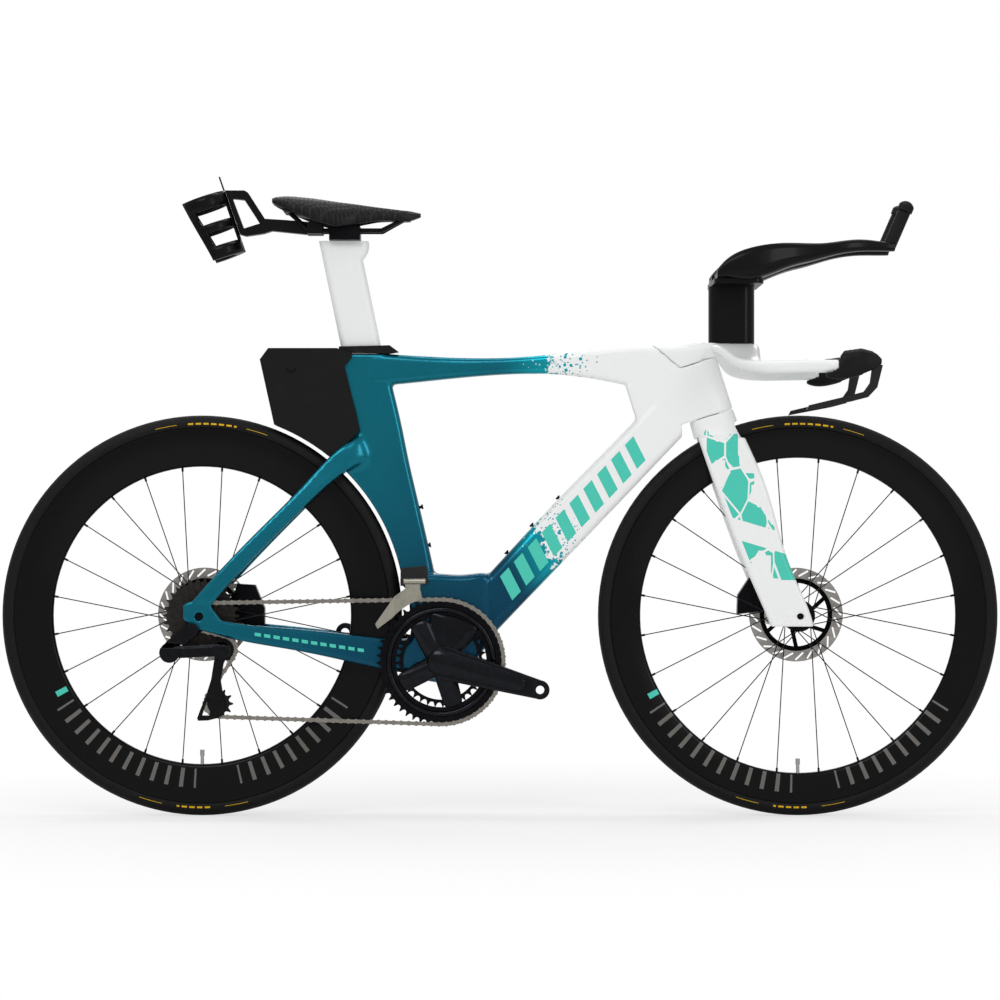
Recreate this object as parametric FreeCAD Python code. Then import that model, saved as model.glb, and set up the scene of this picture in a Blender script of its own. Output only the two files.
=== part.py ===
import FreeCAD, Part
import math
import os

Vector = FreeCAD.Vector

# Wheels and stance, mm. +X is forward, +Y is the rider's left, the ground is Z = 0.
WHEELBASE = 1010.0
TYRE_RADIUS = 339.0
TYRE_SECTION = 28.0
AXLE_HEIGHT = TYRE_RADIUS
AXLE_RADIUS = 6.0
RUN_GAP = 0.08
SEAT_GAP = 0.3
PART_GAP = 1.0
OVERRUN = 40.0

# Rims and tyres
RIM_EDGE_RADIUS = 317.0
RIM_WIDTH = 28.0
RIM_BULGE = 1.2
RIM_WALL = 4.0
RIM_WELL_DEPTH = 5.3
FRONT_RIM_DEPTH = 50.0
REAR_RIM_DEPTH = 65.0
RIM_APEX_HALF = 7.0
RIM_APEX_RISE = 6.0

# Spokes and valves
SPOKE_COUNT = 24
SPOKE_RADIUS = 0.9
SPOKE_LEAN = 60.0
SPOKE_OFFSET = 1.7
NIPPLE_RADIUS = 1.9
NIPPLE_LENGTH = 16.0
NIPPLE_SEAT = 10.0
VALVE_RADIUS = 3.0
VALVE_LENGTH = 24.0
VALVE_CAP_RADIUS = 3.8
VALVE_CAP_LENGTH = 10.0

# Hubs
FRONT_HUB_WIDTH = 100.0
REAR_HUB_WIDTH = 142.0
FLANGE_RADIUS = 27.0
FLANGE_THICKNESS = 9.0
FLANGE_PITCH_RADIUS = 21.0
HUB_BODY_RADIUS = 13.0
HUB_END_RADIUS = 9.0
FRONT_FLANGE_REACH = 27.0
REAR_FLANGE_LEFT = 34.0
REAR_FLANGE_RIGHT = 17.0

# Brake rotors and calipers
ROTOR_RADIUS = 80.0
ROTOR_TRACK = 15.0
ROTOR_THICKNESS = 1.8
ROTOR_SEAT_RADIUS = 17.5
ROTOR_HUB_RADIUS = 24.0
ROTOR_ARMS = 6
ROTOR_ARM_WIDTH = 7.0
ROTOR_CARRIER = 11.0
ROTOR_SLOTS = 24
ROTOR_SLOT_RADIUS = 1.5
ROTOR_SLOT_MARGIN = 3.5
ROTOR_SLOT_SWEEP = 10.0
FRONT_ROTOR_INSET = 10.5
REAR_ROTOR_INSET = 15.3
ROTOR_BOSS_LENGTH = 4.0
CALIPER_HALF_WIDTH = 14.0
CALIPER_SLOT = 5.4
PAD_THICKNESS = 1.2
PAD_GAP = 0.6
CALIPER_ROTOR_GAP = 2.0
FRONT_CALIPER_SHARES = ((0.400, 0.001), (0.401, 0.033), (0.420, 0.062), (0.448, 0.058), (0.444, 0.006))
REAR_CALIPER_SHARES = (
    (-0.446, -0.021), (-0.457, 0.013), (-0.444, 0.052), (-0.414, 0.050), (-0.398, 0.011), (-0.398, -0.027),
)

# Drivetrain
BB_SETBACK = 406.0
BB_DROP = 77.0
PITCH = 12.7
ROLLER_RADIUS = 3.8
SEAT_CLEARANCE = 0.1
SEAT_ANGLE = 75.0
TIP_HALF = 0.8
TIP_HEIGHT_SHARE = 0.6
RING_TEETH = 52
INNER_RING_TEETH = 36
COG_TEETH = (11, 12, 13, 14, 15, 16, 17, 19, 21, 24, 27, 30)
PULLEY_TEETH = 11
RING_LINE = 48.0
INNER_RING_LINE = 41.0
COG_LINE = 63.5
COG_SPACING = 3.45
COG_THICKNESS = 1.6
RING_THICKNESS = 1.8
CHAIN_LINKS = 110
CHAIN_INNER_HALF = 1.05
CHAIN_PLATE = 0.65
CHAIN_PLATE_GAP = 0.1
CHAIN_PLATE_RADIUS = 4.1
CHAIN_WAIST_SHARE = 0.72
PIN_RADIUS = 1.8

# Cranks and bottom bracket
CRANK_LENGTH = 172.5
CRANK_DROP = 15.5
SPINDLE_RADIUS = 12.0
SPINDLE_BORE_RADIUS = 9.0
BB_SHELL_HALF = 40.0
BB_SHELL_RADIUS = 30.0
BB_CUP_RADIUS = 20.5
BB_CUP_WIDTH = 9.0
CRANK_BOSS_RADIUS = 22.0
CRANK_INNER = 51.0
CRANK_THICKNESS = 13.0
CRANK_FLARE = 10.0
CRANK_ROOT_HALF = 29.0
CRANK_TIP_HALF = 16.0
CRANK_SECTION_SHARES = (0, 0.5, 1)
PEDAL_THREAD_RADIUS = 7.1
SPIDER_ANGLES = (58.0, 136.0, 224.0, 302.0)
BOLT_CIRCLE_RADIUS = 55.0
SPIDER_HALF_WIDTH = 14.0
SPIDER_TIP_HALF = 10.0
RING_BAND = 29.0
INNER_RING_BAND = 9.0
TAB_HALF_WIDTH = 9.0
RING_BOLT_RADIUS = 4.0
RING_BOLT_HEAD = 5.6
RING_BOLT_HEAD_HEIGHT = 1.6
FREEHUB_RADIUS = 16.6
FREEHUB_BORE = 8.4
COG_SPACER_WALL = 1.2
LOCKRING_HEIGHT = 2.4

# Steering
HEAD_ANGLE = 72.5
FORK_RAKE = 45.0
CROWN_HEIGHT = 368.0
HEAD_TUBE_LENGTH = 91.0
HEAD_NOSE_REACH = 45.0
HEAD_HALF_WIDTH = 25.0
HEAD_TAIL_REACH = 116.0
HEAD_TAIL_HALF_WIDTH = 22.0
STEERER_RADIUS = 14.3
STEERER_TOP = 22.0
BEARING_RADIUS = 20.5
BEARING_HEIGHT = 8.0
HEAD_BORE_RADIUS = 17.0
STEM_SEAT_RADIUS = 30.0
STEM_CONE_RADIUS = 58.0
STEM_CONE_HEIGHT = 56.0
STEM_SEAM = 1.2
CROWN_SWEEP = 52.0
TYRE_GAP = 6.0

# Frame widths
TOP_TUBE_HALF = 19.0
DOWN_TUBE_HALF = 26.0
SEAT_TUBE_HALF = 19.0
BB_BLOCK_HALF = 32.0
STAY_HALF = 8.0
DROPOUT_INNER = 71.3
DROPOUT_THICKNESS = 8.0
HANGER_THICKNESS = 4.0
HANGER_BOSS_RADIUS = 8.0
FORK_HALF = 9.0
FORK_DROPOUT_INNER = 50.4
TUBE_CORNER_SHARE = 0.55
BLADE_CORNER_SHARE = 0.92
BOX_CORNER_SHARE = 0.35

# Outlines seen from the side, as shares of the wheelbase from between the axles: forward, up
TOP_TUBE_SHARES = (
    # forward, lower edge, upper edge, width
    (-0.213, 0.385, 0.440, 1.0),
    (-0.161, 0.389, 0.437, 1.0),
    (-0.084, 0.397, 0.433, 0.95),
    (0.000, 0.404, 0.432, 0.95),
    (0.084, 0.405, 0.438, 1.0),
    (0.168, 0.395, 0.448, 1.1),
    (0.238, 0.381, 0.453, 1.2),
    (0.342, 0.399, 0.459, 1.25),
)
DOWN_TUBE_SHARES = (
    # lower edge point, upper edge point, width
    ((-0.014, -0.035), (-0.065, 0.021), 1.05),
    ((0.022, 0.003), (-0.033, 0.054), 1.05),
    ((0.119, 0.104), (0.061, 0.156), 1.0),
    ((0.238, 0.229), (0.175, 0.274), 1.0),
    ((0.315, 0.310), (0.253, 0.357), 1.0),
)
SEAT_TUBE_SHARES = (
    # rear point, front point, width
    ((-0.203, 0.046), (-0.104, 0.046), 1.25),
    ((-0.243, 0.130), (-0.123, 0.130), 1.0),
    ((-0.269, 0.219), (-0.144, 0.219), 0.95),
    ((-0.265, 0.268), (-0.155, 0.268), 0.95),
    ((-0.250, 0.313), (-0.164, 0.313), 0.95),
    ((-0.259, 0.361), (-0.175, 0.361), 0.95),
    ((-0.278, 0.439), (-0.190, 0.439), 0.95),
)
BB_BLOCK_SHARES = (
    # lower point, upper point, width
    ((-0.149, -0.098), (-0.149, -0.009), 1.08),
    ((-0.125, -0.108), (-0.125, 0.069), 1.05),
    ((-0.091, -0.111), (-0.091, 0.069), 1.0),
    ((-0.051, -0.088), (-0.051, 0.069), 1.0),
    ((-0.016, -0.043), (-0.020, 0.069), 0.85),
)
SEATSTAY_SHARES = (
    # lower point, upper point, sideways middle over the dropout's, width
    ((-0.483, 0.014), (-0.521, 0.014), 1.0, 0.45),
    ((-0.450, 0.054), (-0.476, 0.065), 0.97, 0.75),
    ((-0.386, 0.122), (-0.407, 0.138), 0.8, 0.85),
    ((-0.319, 0.189), (-0.341, 0.205), 0.56, 0.95),
    ((-0.257, 0.242), (-0.287, 0.264), 0.36, 1.05),
    ((-0.205, 0.268), (-0.224, 0.304), 0.22, 1.1),
    ((-0.178, 0.280), (-0.182, 0.296), 0.12, 0.7),
)
SEATSTAY_TIP_SHARES = ((-0.208, 0.220), (-0.248, 0.340), (-0.1, 0.340), (-0.1, 0.220))
CHAINSTAY_SHARES = (
    # lower point, upper point, sideways middle over the dropout's, width
    ((-0.473, -0.029), (-0.473, -0.004), 1.0, 0.45),
    ((-0.437, -0.039), (-0.437, -0.011), 0.93, 0.8),
    ((-0.352, -0.055), (-0.352, -0.020), 0.7, 1.0),
    ((-0.267, -0.073), (-0.267, -0.029), 0.48, 1.1),
    ((-0.198, -0.088), (-0.198, -0.037), 0.38, 1.1),
    ((-0.149, -0.094), (-0.149, -0.038), 0.32, 1.1),
)
DROPOUT_SHARES = (
    (-0.526, -0.003), (-0.526, 0.019), (-0.515, 0.025), (-0.482, 0.019),
    (-0.465, -0.004), (-0.465, -0.031), (-0.504, -0.021), (-0.521, -0.008),
)
HANGER_SHARES = (
    (-0.512, 0.013), (-0.488, 0.013), (-0.485, -0.009), (-0.501, -0.033), (-0.523, -0.033), (-0.523, -0.009),
)
HANGER_BOLT_SHARES = (-0.512, -0.022)
FORK_BLADE_SHARES = (
    # rear point, front point, sideways middle over the dropout's, width
    ((0.331, 0.298), (0.410, 0.298), 0.45, 1.15),
    ((0.344, 0.258), (0.428, 0.258), 0.53, 1.05),
    ((0.379, 0.159), (0.461, 0.159), 0.7, 1.0),
    ((0.418, 0.060), (0.493, 0.060), 0.92, 0.95),
    ((0.438, 0.014), (0.513, 0.014), 1.0, 0.85),
    ((0.451, -0.017), (0.522, -0.017), 1.0, 0.8),
)
CROWN_SHARES = (
    # rear reach, front reach over the nose's, drop over the sweep's radius, width over the head's
    (0.7, 1.0, 0.0, 1.0),
    (0.72, 1.03, 0.45, 1.2),
    (0.72, 1.08, 0.95, 1.5),
)
CLAMP_COVER_SHARES = ((-0.270, 0.441), (-0.270, 0.451), (-0.185, 0.453), (-0.170, 0.442), (-0.188, 0.439))
BOX_SHARES = (
    (-0.282, 0.264), (-0.234, 0.310), (-0.260, 0.417), (-0.248, 0.433), (-0.248, 0.440),
    (-0.273, 0.448), (-0.388, 0.448), (-0.402, 0.429), (-0.378, 0.320),
)
BOX_LID_SHARES = ((-0.278, 0.448), (-0.385, 0.448), (-0.385, 0.443), (-0.278, 0.443))
BOX_HINGE_SHARES = (-0.278, 0.445)
BOX_HALF_WIDTH = 27.0
BOX_WALL = 3.5
BOX_PIN_RADIUS = 1.5
BOX_BARREL_RADIUS = 3.0
BOX_NOTCH_SHARES = (-0.350, 0.413)
BOX_NOTCH_RADIUS = 8.0
BOX_NOTCH_DEPTH = 1.5
CLAMP_COVER_HALF = 19.0
SEAT_BOLT_SHARES = ((-0.132, 0.182), (-0.119, 0.118))
DOWN_BOLT_SHARES = ((0.012, 0.105), (0.054, 0.151), (0.098, 0.197))
CAGE_BOLT_RADIUS = 4.2
CAGE_BOLT_HEIGHT = 3.0
CAGE_BOLT_DEPTH = 12.0
CAGE_BOLT_SHANK = 2.5

# Seatpost and saddle
SEATPOST_ANGLE = 78.2
SEATPOST_HALF = 12.5
SEATPOST_CHORD = 68.0
SEATPOST_FOOT_SHARES = (-0.193, 0.258)
SEATPOST_RISE = 342.0
SEATPOST_TRAVEL = 35.0
SEATPOST_HEAD_REACH = 16.0
SEATPOST_HEAD_HEIGHT = 32.0
SEATPOST_HEAD_SHARES = ((0, 0), (0.5, 0.8), (1, 1))
RAIL_RADIUS = 3.6
RAIL_HALF_GAUGE = 22.0
RAIL_NOSE_HALF_GAUGE = 9.0
RAIL_SHARES = ((-0.352, 0.675), (-0.319, 0.645), (-0.198, 0.645), (-0.160, 0.665))
CLAMP_SHARES = ((-0.286, 0.629), (-0.234, 0.629))
CLAMP_HALF_WIDTH = 29.0
CLAMP_TOP_RISE = 7.0
CLAMP_BOLT_RADIUS = 4.5
SADDLE_SHARES = (
    # forward, lower edge, upper edge, width
    (-0.381, 0.672, 0.696, 0.8),
    (-0.362, 0.660, 0.704, 0.97),
    (-0.327, 0.650, 0.703, 1.0),
    (-0.285, 0.646, 0.696, 0.8),
    (-0.238, 0.649, 0.690, 0.52),
    (-0.188, 0.650, 0.685, 0.36),
    (-0.150, 0.652, 0.681, 0.28),
    (-0.133, 0.662, 0.675, 0.16),
)
SADDLE_HALF_WIDTH = 68.0
SADDLE_SHELL_INSET = 4.0
SADDLE_SHELL_HEIGHT = 20.0
SADDLE_ROOF_SHARE = 0.45
SADDLE_INNER_SHARE = 0.9
SADDLE_CORNER_SHARE = 0.8

# Rear bottle carrier
CARRIER_ARM_SHARES = ((-0.404, 0.651), (-0.404, 0.667), (-0.297, 0.658), (-0.297, 0.639), (-0.323, 0.639))
CARRIER_TRUSS_SHARES = (
    (-0.396, 0.641), (-0.382, 0.645), (-0.427, 0.712), (-0.475, 0.712), (-0.465, 0.698), (-0.405, 0.652),
)
CARRIER_HALF_WIDTH = 11.0
CARRIER_CLAMP_HALF = 30.0
CAGE_MIDDLE_SHARES = (-0.484, 0.654)
CAGE_LEAN = 19.0
CAGE_RADIUS = 37.5
CAGE_WALL = 2.5
CAGE_HALF_LENGTH = 50.0
CAGE_MOUTH_HALF = 24.0
CAGE_WINDOW_RADIUS = 17.0
CAGE_WINDOW_RISE = 24.0
CAGE_FLOOR = 3.0
CAGE_FLOOR_HOLE = 22.0
CAGE_BACK_HALF = 16.0
CAGE_HOOK_RISE = 26.0

# Cockpit
STEM_SHARES = (
    # forward, lower edge, upper edge, width
    (0.315, 0.419, 0.457, 0.9),
    (0.358, 0.431, 0.457, 1.0),
    (0.428, 0.434, 0.452, 1.2),
)
STEM_HALF = 24.0
BAR_REACH = 200.0
BAR_GRIP_RADIUS = 11.1
BAR_SHARES = (
    # place, sideways over the reach, chord turn, half chord and half height over the grip's radius
    ((0.392, 0.444), 0.0, 0.0, 3.5, 0.8),
    ((0.396, 0.443), 0.28, 0.0, 3.3, 0.78),
    ((0.402, 0.429), 0.52, 4.0, 2.6, 0.78),
    ((0.413, 0.415), 0.76, 22.0, 1.9, 0.85),
    ((0.437, 0.411), 0.92, 52.0, 1.3, 0.95),
    ((0.475, 0.411), 0.99, 80.0, 1.0, 1.0),
    ((0.552, 0.411), 1.0, 90.0, 1.0, 1.0),
)
TOWER_SHARES = (0.350, 0.427, 0.442, 0.552)
TOWER_HALF_WIDTH = 22.0
BRIDGE_SHARES = (0.354, 0.436)
BRIDGE_HALF_WIDTH = 112.0
BRIDGE_HEIGHT = 8.0
BRIDGE_CORNER = 14.0
EXTENSION_SPREAD = 88.0
EXTENSION_HALF = 45.0
EXTENSION_SHARES = (
    # forward, lower edge, upper edge, sideways over the spread, width
    (0.358, 0.560, 0.572, 1.0, 0.9),
    (0.386, 0.560, 0.603, 1.0, 1.0),
    (0.426, 0.560, 0.620, 0.99, 1.0),
    (0.470, 0.576, 0.622, 0.93, 0.92),
    (0.515, 0.589, 0.619, 0.84, 0.74),
    (0.554, 0.600, 0.622, 0.75, 0.48),
    (0.594, 0.607, 0.627, 0.68, 0.3),
    (0.626, 0.608, 0.625, 0.645, 0.28),
    (0.657, 0.608, 0.623, 0.61, 0.26),
)
CUP_SHARES = (
    # forward, floor, mouth, sideways over the spread, width
    (0.342, 0.565, 0.645, 1.0, 0.8),
    (0.386, 0.570, 0.645, 1.0, 0.89),
    (0.426, 0.576, 0.645, 0.99, 0.89),
    (0.470, 0.591, 0.645, 0.93, 0.8),
    (0.515, 0.608, 0.645, 0.84, 0.58),
    (0.537, 0.620, 0.645, 0.79, 0.34),
)
ARM_PAD_HEIGHT = 11.0
ARM_PAD_FIRST_SHARE = 0.09
ARM_PAD_LAST_SHARE = 0.86
EXTENSION_CORNER_SHARE = 0.7
GRIP_SHARES = ((0.647, 0.613), (0.673, 0.673))
GRIP_RADIUS = 11.0
BUTTON_RADIUS = 13.0
BUTTON_HEIGHT = 10.0
BUTTON_DOME = 8.0
BUTTON_TRAVEL = 1.2
BUTTON_STEM_RADIUS = 5.0
BUTTON_STEM_LENGTH = 12.0

# Brake levers
LEVER_BODY_SHARES = (
    # forward, lower edge, upper edge, width
    (0.531, 0.395, 0.409, 0.5),
    (0.554, 0.390, 0.425, 1.0),
    (0.582, 0.395, 0.438, 1.1),
    (0.606, 0.404, 0.443, 1.0),
    (0.621, 0.413, 0.439, 0.7),
)
LEVER_BODY_HALF = 13.0
LEVER_SHARES = (
    (0.607, 0.419), (0.602, 0.384), (0.592, 0.370), (0.570, 0.364), (0.503, 0.348),
    (0.499, 0.340), (0.572, 0.354), (0.599, 0.361), (0.614, 0.377), (0.623, 0.413),
)
LEVER_PIVOT_SHARES = (0.612, 0.414)
LEVER_HALF_WIDTH = 5.0
LEVER_BOSS_RADIUS = 7.5
LEVER_PIN_RADIUS = 2.5
LEVER_SLOT_RADIUS = 10.0

# Derailleurs
SHIFT_SLANT = 45.0
REAR_KNUCKLE_SHARES = (-0.547, -0.059)
CAGE_PIVOT_SHARES = (-0.461, -0.055)
KNUCKLE_RADIUS = 17.0
KNUCKLE_HALF = 15.0
KNUCKLE_ARM_SHARE = 0.7
CAGE_PIVOT_RADIUS = 15.0
DERAILLEUR_LINE = 84.0
LINK_HALF_HEIGHT = 4.5
LINK_HALF_WIDTH = 12.0
LINK_BORE_RADIUS = 4.0
PULLEY_DISTANCE = 90.7
PULLEY_THICKNESS = 1.7
PULLEY_BORE = 4.0
CAGE_PLATE = 2.0
CAGE_PLATE_HALF = 11.0
CAGE_INNER_HALF = 4.6
CAGE_PLATE_WAIST = 8.0
FRONT_MECH_BODY_SHARES = ((-0.166, 0.050), (-0.166, 0.080), (-0.123, 0.084), (-0.119, 0.054))
FRONT_MECH_BODY_OUTER = 44.0
FRONT_MECH_BODY_INNER = 17.0
FRONT_MECH_CAGE_SHARES = (
    (-0.133, 0.043), (-0.127, 0.021), (-0.158, 0.013), (-0.204, -0.021),
    (-0.208, -0.013), (-0.176, 0.033), (-0.158, 0.046),
)
FRONT_MECH_PLATE = 1.6
FRONT_MECH_CAGE_HALF = 6.0
FRONT_MECH_TOOTH_GAP = 2.0
FRONT_MECH_INNER_DEPTH = 24.0
FRONT_MECH_FRAME_GAP = 6.0
FRONT_MECH_PIVOT_SHARES = (-0.145, 0.058)
FRONT_MECH_PIVOT_RADIUS = 5.0
FRONT_MECH_EAR_REACH = 20.0

UP = Vector(0, 0, 1)
FORWARD = Vector(1, 0, 0)
LEFT = Vector(0, 1, 0)
ORIGIN = Vector(0, 0, 0)
SIDES = (-1, 1)

REAR_AXLE = Vector(-WHEELBASE / 2, 0, AXLE_HEIGHT)
FRONT_AXLE = Vector(WHEELBASE / 2, 0, AXLE_HEIGHT)
BB = Vector(REAR_AXLE.x + BB_SETBACK, 0, AXLE_HEIGHT - BB_DROP)
HEAD_LEAN = math.radians(HEAD_ANGLE)
STEER_UP = Vector(-math.cos(HEAD_LEAN), 0, math.sin(HEAD_LEAN))
STEER_FORWARD = Vector(math.sin(HEAD_LEAN), 0, math.cos(HEAD_LEAN))
CROWN = FRONT_AXLE - STEER_FORWARD * FORK_RAKE + STEER_UP * CROWN_HEIGHT
FRONT_ROTOR_LINE = FRONT_HUB_WIDTH / 2 - FRONT_ROTOR_INSET
REAR_ROTOR_LINE = REAR_HUB_WIDTH / 2 - REAR_ROTOR_INSET


# Geometry helpers

def spot(shares, sideways=0):
    """Point from its shares of the wheelbase, counted from between the axles."""
    return Vector(shares[0] * WHEELBASE, sideways, AXLE_HEIGHT + shares[1] * WHEELBASE)


def steer_spot(forward, up, sideways=0):
    """Point in the steering axis's own directions, counted from the crown's seat."""
    return CROWN + STEER_FORWARD * forward + STEER_UP * up + LEFT * sideways


def unit(vector):
    """Copy of a vector with a length of one."""
    return Vector(vector).normalize()


def rod(start, end, radius):
    """Round bar between two points."""
    return Part.makeCylinder(radius, (end - start).Length, start, end - start)


def cross_rod(centre, radius, low, high):
    """Round bar along the sideways direction through a point of the side view."""
    return Part.makeCylinder(radius, high - low, Vector(centre.x, low, centre.z), LEFT)


def plate(points, low, high):
    """Flat plate with a polygon outline in the side view, between two sideways places."""
    outline = [Vector(point.x, low, point.z) for point in points]
    return Part.Face(Part.makePolygon(outline + outline[:1])).extrude(LEFT * (high - low))


def bar_plate(start, end, start_radius, end_radius, low, high):
    """Flat bar with two round ends, seen from the side, between two sideways places."""
    along = unit(end - start)
    across = Vector(-along.z, 0, along.x)
    corners = [start + across * start_radius, start - across * start_radius]
    corners += [end - across * end_radius, end + across * end_radius]
    body = plate(corners, low, high)
    return joined([body, cross_rod(start, start_radius, low, high), cross_rod(end, end_radius, low, high)])


def rounded_section(centre, along, across, half_along, half_across, corner):
    """Closed rounded rectangle about a centre, in the plane of two unit directions."""
    bend = corner * (1 - math.sqrt(0.5))
    edges = []
    last = None
    first = None
    for sign_along, sign_across in ((1, 1), (-1, 1), (-1, -1), (1, -1)):
        out_along = along * sign_along
        out_across = across * sign_across
        side = centre + out_along * half_along + out_across * (half_across - corner)
        cap = centre + out_along * (half_along - corner) + out_across * half_across
        middle = centre + out_along * (half_along - bend) + out_across * (half_across - bend)
        start, end = (side, cap) if sign_along * sign_across > 0 else (cap, side)
        if last is None:
            first = start
        else:
            edges.append(Part.makeLine(last, start))
        edges.append(Part.Arc(start, middle, end).toShape())
        last = end
    edges.append(Part.makeLine(last, first))
    return Part.Wire(edges)


def edge_section(start, end, half_width, corner_share):
    """Rounded section that spans two edge points and is wide in the sideways direction."""
    half_along = (end - start).Length / 2
    corner = corner_share * min(half_along, half_width)
    return rounded_section((start + end) * 0.5, unit(end - start), LEFT, half_along, half_width, corner)


def loft(sections):
    """Smooth solid through closed sections."""
    return Part.makeLoft(sections, True, False)


def upright_loft(rows, sideways, half_width, corner_share):
    """Solid through upright sections: forward, lower edge, upper edge, sideways and width shares."""
    sections = []
    for forward, low, high, side, width in rows:
        start = spot((forward, low), sideways * side)
        end = spot((forward, high), sideways * side)
        sections.append(edge_section(start, end, half_width * width, corner_share))
    return loft(sections)


def joined(shapes):
    """One solid from several that overlap."""
    return shapes[0].fuse(shapes[1:]).removeSplitter()


def group(shapes):
    """Separate solids kept together as one shape."""
    return Part.makeCompound([solid for shape in shapes for solid in shape.Solids])


def mirrored(shape):
    """The same shape on the other side of the mid-plane."""
    return shape.mirror(ORIGIN, LEFT)


def both_sides(shape):
    """A shape and its mirror image as two solids."""
    return group([shape, mirrored(shape)])


def turned(steps, bore, centre):
    """Turned piece about a sideways axis: sideways place and radius along its outside, and its bore."""
    outline = [(steps[0][0], bore)] + list(steps) + [(steps[-1][0], bore)]
    points = [Vector(centre.x + radius, place, centre.z) for place, radius in outline]
    return Part.Face(Part.makePolygon(points + points[:1])).revolve(centre, LEFT, 360)


def steer_cylinder(low, high, radius):
    """Round bar about the steering axis between two heights over the crown's seat."""
    return rod(steer_spot(0, low), steer_spot(0, high), radius)


def wheel_space(axle, half_width):
    """Space that a tyre needs with its gap."""
    return cross_rod(axle, TYRE_RADIUS + TYRE_GAP, -half_width, half_width)


def pitch_radius(teeth):
    """Radius of the circle that a chain's pins follow on a toothed wheel."""
    return PITCH / 2 / math.sin(math.pi / teeth)


def tip_radius(teeth):
    """Radius over the tips of a toothed wheel."""
    return PITCH * (TIP_HEIGHT_SHARE + 1 / math.tan(math.pi / teeth)) / 2


def toothed_disc(teeth, phase, thickness, bore, centre, line):
    """Toothed wheel whose gaps hold chain rollers, with one gap at the phase angle."""
    radius = pitch_radius(teeth)
    tip = tip_radius(teeth)
    seat = ROLLER_RADIUS + SEAT_CLEARANCE
    reach = math.radians(SEAT_ANGLE)
    edges = []
    last = None
    first = None
    for tooth in range(teeth):
        angle = phase + 2 * math.pi * tooth / teeth
        out = Vector(math.cos(angle), 0, math.sin(angle))
        round_way = Vector(-math.sin(angle), 0, math.cos(angle))
        middle = Vector(centre.x, line, centre.z) + out * radius
        low = middle - out * (seat * math.cos(reach)) - round_way * (seat * math.sin(reach))
        high = middle - out * (seat * math.cos(reach)) + round_way * (seat * math.sin(reach))
        half_gap = math.pi / teeth - TIP_HALF / tip
        tips = []
        for sign in SIDES:
            turn = angle + sign * half_gap
            tips.append(Vector(centre.x + tip * math.cos(turn), line, centre.z + tip * math.sin(turn)))
        if last is None:
            first = tips[0]
        else:
            edges.append(Part.makeLine(last, tips[0]))
        edges.append(Part.makeLine(tips[0], low))
        edges.append(Part.Arc(low, middle - out * seat, high).toShape())
        edges.append(Part.makeLine(high, tips[1]))
        last = tips[1]
    edges.append(Part.makeLine(last, first))
    disc = Part.Face(Part.Wire(edges)).extrude(LEFT * thickness)
    disc.translate(LEFT * (-thickness / 2))
    return disc.cut(cross_rod(centre, bore, line - thickness, line + thickness))


# Chain path

def tangent(start, end):
    """Straight run between two toothed wheels as its two ends and its angle."""
    start_centre, start_way, start_teeth = start
    end_centre, end_way, end_teeth = end
    start_reach = start_way * pitch_radius(start_teeth)
    end_reach = end_way * pitch_radius(end_teeth)
    span = end_centre - start_centre
    angle = math.atan2(span.z, span.x) - math.asin((start_reach - end_reach) / math.hypot(span.x, span.z))
    normal = Vector(-math.sin(angle), 0, math.cos(angle))
    return start_centre + normal * start_reach, end_centre + normal * end_reach, angle


def chain_route(cage_angle):
    """Runs and wraps of the chain in the way it travels, with their lengths in pitches."""
    pivot = spot(CAGE_PIVOT_SHARES)
    tension = pivot + Vector(math.sin(cage_angle), 0, -math.cos(cage_angle)) * PULLEY_DISTANCE
    flat_bb = Vector(BB.x, 0, BB.z)
    wheels = [(flat_bb, 1, RING_TEETH), (tension, 1, PULLEY_TEETH), (pivot, -1, PULLEY_TEETH)]
    wheels.append((REAR_AXLE, 1, COG_TEETH[0]))
    lines = [-RING_LINE, -COG_LINE, -COG_LINE, -COG_LINE]
    runs = [tangent(wheels[place], wheels[(place + 1) % 4]) for place in range(4)]
    route = []
    for place in range(4):
        after = (place + 1) % 4
        start, end, angle = runs[place]
        route.append(("run", start, end, lines[place], lines[after], (end - start).Length / PITCH))
        centre, way, teeth = wheels[after]
        turn = ((angle - runs[after][2]) * way) % (2 * math.pi)
        first = math.atan2(end.z - centre.z, end.x - centre.x)
        route.append(("wrap", centre, first, -way * turn, lines[after], turn * teeth / (2 * math.pi)))
    return route, tension


def route_length(cage_angle):
    """Length of the chain's path in pitches."""
    return sum(piece[5] for piece in chain_route(cage_angle)[0])


def settled_cage_angle():
    """Cage angle at which the path takes the chain's whole number of links."""
    low, high = -math.pi / 6, math.pi / 6
    for _ in range(50):
        middle = (low + high) / 2
        if route_length(middle) > CHAIN_LINKS:
            low = middle
        else:
            high = middle
    return (low + high) / 2


def pin_places(route):
    """Places of the chain's pins, one pitch apart along its path."""
    places = []
    counted = 0
    for piece in route:
        kind, length = piece[0], piece[5]
        while len(places) < counted + length and len(places) < CHAIN_LINKS:
            part_way = (len(places) - counted) / length
            if kind == "run":
                ease = part_way ** 3 * (10 - 15 * part_way + 6 * part_way ** 2)
                place = piece[1] + (piece[2] - piece[1]) * part_way
                line = piece[3] + (piece[4] - piece[3]) * ease
            else:
                angle = piece[2] + piece[3] * part_way
                place = piece[1] + Vector(math.cos(angle), 0, math.sin(angle)) * route_radius(piece)
                line = piece[4]
            places.append(Vector(place.x, line, place.z))
        counted += length
    return places


def route_radius(wrap):
    """Radius of a wrap, from its angle and its number of pitches."""
    return pitch_radius(abs(wrap[5] * 2 * math.pi / wrap[3]))


def seat_phase(places, centre, radius):
    """Angle of a pin that sits on a toothed wheel."""
    gaps = [abs(math.hypot(place.x - centre.x, place.z - centre.z) - radius) for place in places]
    seated = places[gaps.index(min(gaps))]
    return math.atan2(seated.z - centre.z, seated.x - centre.x)


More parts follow.
